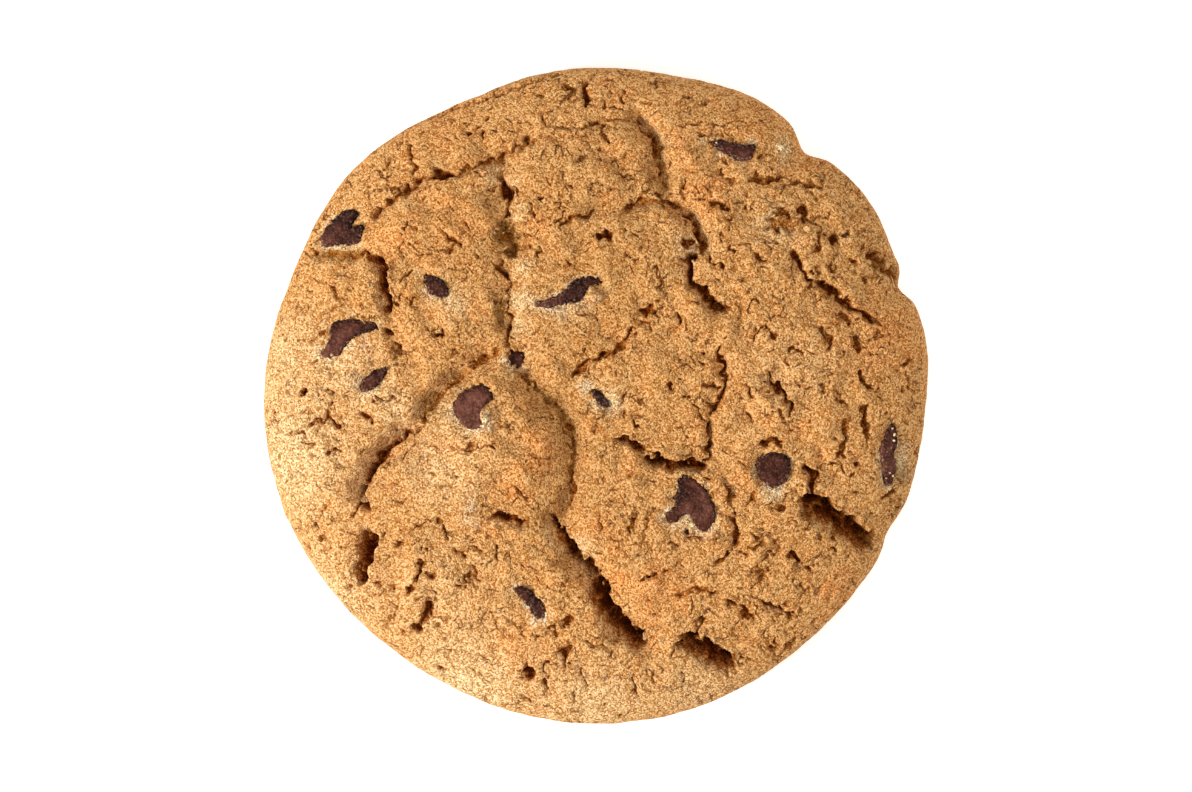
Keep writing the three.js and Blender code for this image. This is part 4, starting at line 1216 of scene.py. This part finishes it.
@dataclass(frozen=True)
class BakedCrust:
    """Butter-and-sugar dough browned in the oven: matt, sandy, tan with toasted and pale places, painted
    light on some pale ones, and painted shade in its cracks, tears and hollows.
    """

    tan: str = "CE9555"
    toasted: str = "DC924E"
    # Pale crumb, and also the painted light on places that face the key light.
    cream: str = "E6C58C"
    powder: str = "D2B699"
    # The next three colours are painted shade: in tears and pores, in shallow cracks, and deep in cracks.
    torn: str = "602B02"
    crack_shade_brown: str = "96520D"
    depth: str = "662704"
    # Warm tint for darker grains: painted shade between the grains.
    amber: str = "BB9352"
    # Moist crumb brown, which also stands as painted shade in hollows.
    crumb: str = "936731"
    # Whiter tint for bright grains: white sugar with a painted glint.
    painted_glint: tuple[float, float, float, float] = (1.4, 1.69, 2.36, 1.0)

    @staticmethod
    def tears(
        tree: bpy.types.NodeTree, place: bpy.types.NodeSocket, pitch: float, lean: tuple[float, float, float]
    ) -> bpy.types.NodeSocket:
        """Draws short tears: the crust is cut by one small upright disc in each cell of space.

        Args:
            tree: the material's node tree.
            place: the position that feeds the pattern.
            pitch: the cells' width in metres.
            lean: which way the discs tend to face, or zeros for none.

        Returns:
            The socket that is 1 in a tear and 0 outside it.
        """
        upright = (1, 1, 0.25)
        tilt = tuple(part - 0.5 * share for part, share in zip(lean, upright))
        cell = add(tree, "ShaderNodeTexVoronoi", {"Vector": place, "Scale": 1 / pitch}, out="Position")
        local = add(tree, "ShaderNodeVectorMath", {0: place, 1: cell}, operation="SUBTRACT")
        turned = {0: cell.node.outputs["Color"], 1: upright, 2: tilt}
        facing = add(tree, "ShaderNodeVectorMath", turned, operation="MULTIPLY_ADD")
        unit = add(tree, "ShaderNodeVectorMath", {0: facing}, operation="NORMALIZE")
        across = add(tree, "ShaderNodeVectorMath", {0: local, 1: unit}, operation="DOT_PRODUCT")
        off = add(tree, "ShaderNodeMath", {0: across}, operation="ABSOLUTE")
        reach = add(tree, "ShaderNodeVectorMath", {0: local}, operation="LENGTH")
        line, held = (
            add(
                tree, "ShaderNodeMapRange",
                {"Value": far, "From Min": full, "From Max": none, "To Min": 1.0, "To Max": 0.0},
            )
            for far, full, none in ((off, 0.00006, 0.00016), (reach, 0.36 * pitch, 0.6 * pitch))
        )
        return add(tree, "ShaderNodeMath", {0: line, 1: held}, operation="MULTIPLY")

    def make(self) -> bpy.types.Material:
        """Makes the material."""
        material, tree, shader, place = blank_material("baked_cookie_crust")
        toast, pale_and_lit, painted_shade, dust, moist_and_shade = (
            add(tree, "ShaderNodeAttribute", out="Fac", attribute_name=name)
            for name in ("toast", "pale_and_lit", "painted_shade", "dust", "moist_and_shade")
        )
        # Sugar grain, drawn about 0.2 mm across: finer would be lost at this distance.
        grain = add(tree, "ShaderNodeTexVoronoi", {"Vector": place, "Scale": 1 / (0.21 * MM)})
        tone = add(tree, "ShaderNodeSeparateColor", {"Color": grain.node.outputs["Color"]})
        clouds = {"Vector": place, "Scale": 1 / (4 * MM), "Detail": 4.0, "Roughness": 0.6}
        mottle = add(tree, "ShaderNodeTexNoise", clouds)
        spread = {"Value": mottle, "From Min": 0.3, "From Max": 0.7, "To Min": -0.08, "To Max": 0.16}
        uneven = add(tree, "ShaderNodeMapRange", spread)
        browned = add(tree, "ShaderNodeMath", {0: toast, 1: uneven}, operation="ADD", use_clamp=True)
        # Tears in the skin as the dough spread: 0.1 to 0.2 mm wide and 1 to 2 mm long.
        bends = {"Vector": place, "Scale": 1 / (1.1 * MM), "Detail": 3.0, "Roughness": 0.6}
        ragged = add(tree, "ShaderNodeTexNoise", bends, out="Color")
        bent = {0: ragged, 1: (0.0009,) * 3, 2: place}
        pushed = add(tree, "ShaderNodeVectorMath", bent, operation="MULTIPLY_ADD")
        marks = []
        for pitch, lean, seen in ((2.3, (0.5, 0.65, 0.0), 0.56), (1.5, (0.0, 0.0, 0.0), 0.58)):
            tear = self.tears(tree, pushed, pitch * MM, lean)
            parts = {"Vector": place, "Scale": 0.45 / (pitch * MM), "Detail": 1.0}
            where = add(tree, "ShaderNodeTexNoise", parts)
            shown = {"Value": where, "From Min": seen - 0.04, "From Max": seen + 0.08}
            kept = add(tree, "ShaderNodeMapRange", shown)
            marks.append(add(tree, "ShaderNodeMath", {0: tear, 1: kept}, operation="MULTIPLY"))
        # Winding cracks between the small lumps, where the sugar crust broke.
        for pitch, thin, seen in ((3.4, 0.026, 0.53), (1.9, 0.03, 0.55)):
            rambling = {"Vector": pushed, "Scale": 1 / (pitch * MM), "Detail": 1.0}
            winding = add(tree, "ShaderNodeTexNoise", rambling)
            off = add(tree, "ShaderNodeMath", {0: winding, 1: 0.5}, operation="SUBTRACT")
            size = add(tree, "ShaderNodeMath", {0: off}, operation="ABSOLUTE")
            narrow = {"Value": size, "From Min": thin * 0.4, "From Max": thin, "To Min": 1.0, "To Max": 0.0}
            line = add(tree, "ShaderNodeMapRange", narrow)
            parts = {"Vector": place, "Scale": 0.8 / (pitch * MM), "Detail": 1.0}
            where = add(tree, "ShaderNodeTexNoise", parts, out="Color")
            shown = {"Value": where, "From Min": seen, "From Max": seen + 0.08}
            kept = add(tree, "ShaderNodeMapRange", shown)
            marks.append(add(tree, "ShaderNodeMath", {0: line, 1: kept}, operation="MULTIPLY"))
        # Pores, about 0.2 mm across.
        pore = add(tree, "ShaderNodeTexVoronoi", {"Vector": place, "Scale": 1 / (0.7 * MM)})
        round_ = {"Value": pore, "From Min": 0.08, "From Max": 0.17, "To Min": 1.0, "To Max": 0.0}
        hairs = add(tree, "ShaderNodeMapRange", round_)
        for mark in marks:
            hairs = add(tree, "ShaderNodeMath", {0: hairs, 1: mark}, operation="MAXIMUM")
        # The tears come and go along their way, as the grains on their edges stand or fell out.
        beads = add(tree, "ShaderNodeTexNoise", {"Vector": place, "Scale": 1 / (0.67 * MM), "Detail": 1.0})
        open_ = add(tree, "ShaderNodeMapRange", {"Value": beads, "From Min": 0.38, "From Max": 0.5})
        hairs = add(tree, "ShaderNodeMath", {0: hairs, 1: open_}, operation="MULTIPLY")
        # Pale crust set early and hardly tore.
        firm = {"Value": pale_and_lit, "From Max": 0.7, "To Min": 0.85, "To Max": 0.35}
        spared = add(tree, "ShaderNodeMapRange", firm)
        # Painted shade in the tears and pores, less on pale crust.
        tear_shade = add(tree, "ShaderNodeMath", {0: hairs, 1: spared}, operation="MULTIPLY")
        # Sugar and melted chocolate dust the crust right beside a chip.
        powder = add(tree, "ShaderNodeTexNoise", {"Vector": place, "Scale": 1 / (0.4 * MM), "Detail": 2.0})
        thick = add(tree, "ShaderNodeMapRange", {"Value": powder, "From Min": 0.4, "From Max": 0.62})
        dusty = add(tree, "ShaderNodeMath", {0: dust, 1: thick}, operation="MULTIPLY", use_clamp=True)
        # Torn crumb breaks the edge between the light skin and the painted shade of a crack.
        crumbs = {"Vector": place, "Scale": 1 / (0.5 * MM), "Detail": 3.0, "Roughness": 0.65}
        torn = add(tree, "ShaderNodeTexNoise", crumbs)
        broken = {"Value": torn, "From Min": 0.32, "From Max": 0.68, "To Min": 0.4, "To Max": 1.6}
        crumbly = add(tree, "ShaderNodeMapRange", broken)
        painted_shade = add(tree, "ShaderNodeMath", {0: painted_shade, 1: crumbly}, operation="MULTIPLY")
        # Painted shade in cracks: a brown for the lighter shade, and a near-black brown for the deepest.
        upper = {"Value": painted_shade, "From Min": 0.16, "From Max": 0.36, "To Max": 0.85}
        painted_half_shade = add(tree, "ShaderNodeMapRange", upper)
        lower = {"Value": painted_shade, "From Min": 0.45, "From Max": 0.85, "To Max": 0.95}
        deep = add(tree, "ShaderNodeMapRange", lower)
        colour = linear(self.tan)
        for share, laid in (
            (browned, self.toasted), (pale_and_lit, self.cream), (dusty, self.powder), (moist_and_shade, self.crumb),
            (tear_shade, self.torn), (painted_half_shade, self.crack_shade_brown), (deep, self.depth),
        ):
            mixed = {"Factor": share, "A": colour, "B": linear(laid)}
            colour = add(tree, "ShaderNodeMix", mixed, data_type="RGBA")
        # Grains picked at random by their tone: darker ones get a warm tint, as painted shade between the
        # grains, and bright ones a whiter tint, as white sugar with a painted glint.
        low = {"Value": tone, "From Max": 0.6, "To Min": 0.95, "To Max": 0.0}
        between = add(tree, "ShaderNodeMapRange", low)
        high = {"Value": tone, "From Min": 0.5, "To Min": 0.0, "To Max": 1.0}
        bright = add(tree, "ShaderNodeMapRange", high)
        for share, tint in ((between, linear(self.amber)), (bright, self.painted_glint)):
            mixed = {"Factor": share, "A": (1, 1, 1, 1), "B": tint}
            veil = add(tree, "ShaderNodeMix", mixed, data_type="RGBA")
            colour = add(tree, "ShaderNodeVectorMath", {0: colour, 1: veil}, operation="MULTIPLY")
        grit = {"Vector": place, "Scale": 1 / (0.4 * MM), "Detail": 2.0, "Roughness": 0.7}
        fine = add(tree, "ShaderNodeTexNoise", grit)
        sand = add(tree, "ShaderNodeMath", {0: grain, 1: -0.8, 2: fine}, operation="MULTIPLY_ADD")
        rise = add(tree, "ShaderNodeMath", {0: hairs, 1: -0.8, 2: sand}, operation="MULTIPLY_ADD")
        bump = add(tree, "ShaderNodeBump", {"Height": rise, "Strength": 1.0, "Distance": 0.00014})
        # Deep in a crack no skin is left to shine.
        skinless = {"Value": painted_shade, "From Max": 0.6, "To Min": 0.82, "To Max": 1.0}
        dull = add(tree, "ShaderNodeMapRange", skinless)
        feed(tree, shader, {"Base Color": colour, "Normal": bump, "Roughness": dull})
        feed(tree, shader, {"Specular IOR Level": 0.05, "IOR": 1.45})
        return material


@dataclass(frozen=True)
class SemiSweetChocolate:
    """Dark chocolate that softened and set again: dull, faintly grainy, with a grey bloom in places, and
    painted light and painted shade on parts of each chip.
    """

    dark: str = "4D261A"
    bloom: str = "744637"
    black: str = "25100A"
    frost: str = "AC8878"

    def make(self) -> bpy.types.Material:
        """Makes the material."""
        material, tree, shader, place = blank_material("semi_sweet_chocolate")
        tone, dust, edge = (
            add(tree, "ShaderNodeAttribute", out="Fac", attribute_name=name)
            for name in ("tone", "dust", "edge")
        )
        patchy = {"Vector": place, "Scale": 1 / (1.9 * MM), "Detail": 4.0, "Roughness": 0.7}
        cloud = add(tree, "ShaderNodeTexNoise", patchy)
        spread = {"Value": cloud, "From Min": 0.3, "From Max": 0.7, "To Min": -0.75, "To Max": 0.6}
        cloudy = add(tree, "ShaderNodeMapRange", spread)
        level = add(tree, "ShaderNodeMath", {0: tone, 1: cloudy}, operation="ADD")
        shade = add(tree, "ShaderNodeMapRange", {"Value": level, "To Max": 1.0})
        sunk = add(tree, "ShaderNodeMapRange", {"Value": level, "From Min": 0.0, "From Max": -1.0})
        # Fine sugar in the chocolate, and crumb dust that gathers along its edge.
        fine = add(tree, "ShaderNodeTexNoise", {"Vector": place, "Scale": 1 / (0.33 * MM), "Detail": 2.0})
        caught = add(tree, "ShaderNodeMapRange", {"Value": fine, "From Min": 0.5, "From Max": 0.66})
        edged = add(tree, "ShaderNodeMapRange", {"Value": dust, "To Min": 0.16, "To Max": 0.6})
        dusty = add(tree, "ShaderNodeMath", {0: caught, 1: edged}, operation="MULTIPLY")
        # Bloom also stands as painted light on the lit parts of some chips, and black as painted shade on
        # their shaded edges; the random cloud adds real variation to both.
        colour = linear(self.dark)
        for share, laid in ((shade, self.bloom), (sunk, self.black), (dusty, self.frost)):
            mixed = {"Factor": share, "A": colour, "B": linear(laid)}
            colour = add(tree, "ShaderNodeMix", mixed, data_type="RGBA")
        lumps = {"Vector": place, "Scale": 1 / (0.67 * MM), "Detail": 3.0, "Roughness": 0.7}
        rough = add(tree, "ShaderNodeTexNoise", lumps)
        bump = add(tree, "ShaderNodeBump", {"Height": rough, "Strength": 1.0, "Distance": 0.00045})
        # Its sunken edge is too crumbly to shine.
        crumbly = {"Value": edge, "From Max": 0.6, "To Min": 0.6, "To Max": 1.0}
        dull = add(tree, "ShaderNodeMapRange", crumbly)
        feed(tree, shader, {"Base Color": colour, "Normal": bump, "Roughness": dull})
        feed(tree, shader, {"Specular IOR Level": 0.07, "IOR": 1.5})
        return material


@dataclass(frozen=True)
class LightTable:
    """A white light table: a matt, plain sheet that is faintly lit from below, so that shadows stay pale."""

    white: str = "FBFBFA"
    glow: float = 0.5

    def make(self) -> bpy.types.Material:
        """Makes the material."""
        material, tree, shader, place = blank_material("white_light_table")
        white = linear(self.white)
        brush = add(tree, "ShaderNodeTexNoise", {"Vector": place, "Scale": 1 / (33 * MM), "Detail": 2.0})
        tone = add(tree, "ShaderNodeMapRange", {"Value": brush, "To Min": 0.98, "To Max": 1.0})
        colour = add(tree, "ShaderNodeVectorMath", {0: white[:3], "Scale": tone}, operation="SCALE")
        feed(tree, shader, {"Base Color": colour, "Roughness": 0.7, "Specular IOR Level": 0.2})
        feed(tree, shader, {"Emission Color": white, "Emission Strength": self.glow})
        return material


# ---------------------------------------------------------------- the studio

@dataclass
class Studio:
    """A pale floor, soft light from the left, and a camera that looks straight down."""

    middle: Vector
    lens: float = 400.0
    sensor_width: float = 36.0
    view_width: float = 163.3
    floor_size: float = 6.0
    air: float = 0.38

    def floor(self) -> None:
        """Lays the floor under the cookie."""
        half = self.floor_size / 2
        corners = np.array([[-half, -half, 0], [half, -half, 0], [half, half, 0], [-half, half, 0]])
        board = mesh_object("floor", corners, [[0, 1, 2, 3]])
        board.data.materials.append(LightTable().make())
        board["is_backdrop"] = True

    def light(self, name: str, at: tuple[float, float, float], size: float, power: float) -> None:
        """Hangs a square soft light that faces the cookie.

        Args:
            name: the light's name.
            at: where it hangs, in metres.
            size: its width in metres.
            power: its power in watts.
        """
        lamp = bpy.data.lights.new(name, "AREA")
        lamp.size, lamp.energy = size, power
        holder = bpy.data.objects.new(name, lamp)
        holder.location = at
        holder.rotation_euler = (self.middle - Vector(at)).to_track_quat("-Z", "Y").to_euler()
        bpy.context.scene.collection.objects.link(holder)

    def camera(self) -> None:
        """Sets the camera straight above the cookie."""
        lens = bpy.data.cameras.new("camera")
        lens.lens = self.lens
        lens.sensor_width = self.sensor_width
        lens.clip_start = 0.01
        holder = bpy.data.objects.new("camera", lens)
        height = self.lens / self.sensor_width * self.view_width * MM + 0.005
        holder.location = self.middle + Vector((0, 0, height))
        bpy.context.scene.collection.objects.link(holder)
        bpy.context.scene.camera = holder

    def build(self) -> None:
        """Sets up the floor, the lights, the air and the camera."""
        self.floor()
        self.light("key_left", (-0.75, -0.28, 0.58), 0.3, 10.8)
        self.light("fill_top", (0.5, 0.12, 1.1), 1.2, 6.0)
        world = bpy.data.worlds.new("studio_air")
        world.use_nodes = True
        tree = world.node_tree
        feed(tree, tree.nodes["Background"], {"Color": (1, 1, 1, 1), "Strength": self.air})
        scene = bpy.context.scene
        scene.world = world
        scene.view_settings.view_transform = "Standard"
        self.camera()


# ---------------------------------------------------------------- all together

# Steps of the relief's grid and of the dough's mesh, in millimetres: the build uses the first of each pair,
# and the quick pair is not used.
GRID_STEP, QUICK_GRID_STEP = 0.1, 0.2
MESH_STEP, QUICK_MESH_STEP = 0.12, 0.3


def main() -> None:
    """Builds the cookie and its studio, and reports each piece."""
    logging.basicConfig(level=logging.INFO, format="%(name)s: %(message)s")
    cad_low, cad_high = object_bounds()
    dough_low, dough_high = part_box("dough")
    middle = Vector(((dough_low.x + dough_high.x) / 2, (dough_low.y + dough_high.y) / 2, 0.0))
    form = CookieForm()
    log.info("CAD box %s to %s, skin %.1f mm", tuple(cad_low), tuple(cad_high), form.skin_length())

    chip_nodes = sorted(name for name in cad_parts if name.startswith("chip_"))
    footprints = [Footprint.of(name, middle) for name in chip_nodes]
    sheet = Sheet(form, GRID_STEP, seed=7)
    relief = CrustRelief(form, sheet, footprints).build()
    log.info("crust relief on a grid of %d by %d", sheet.count, sheet.count)

    crust, chocolate = BakedCrust().make(), SemiSweetChocolate().make()
    pieces = [(Dough(relief, middle, MESH_STEP).build(), crust)]
    for number, footprint in enumerate(footprints):
        pieces.append((Chip(footprint.node, footprint, middle, seed=100 + number).build(), chocolate))
    crumbs = LooseBits("loose_crumbs", "crust", relief, middle, CRUMBS, scattered=90)
    specks = LooseBits("chocolate_specks", "chocolate", relief, middle, SPECKS, seed=32, flatness=0.6)
    pieces += [(crumbs.build(), crust), (specks.build(), chocolate)]
    for body, material in pieces:
        body.data.materials.clear()
        body.data.materials.append(material)
        log.info("%s: %d faces", body.name, len(body.data.polygons))

    Studio(middle).build()


if __name__ == "__main__":
    main()
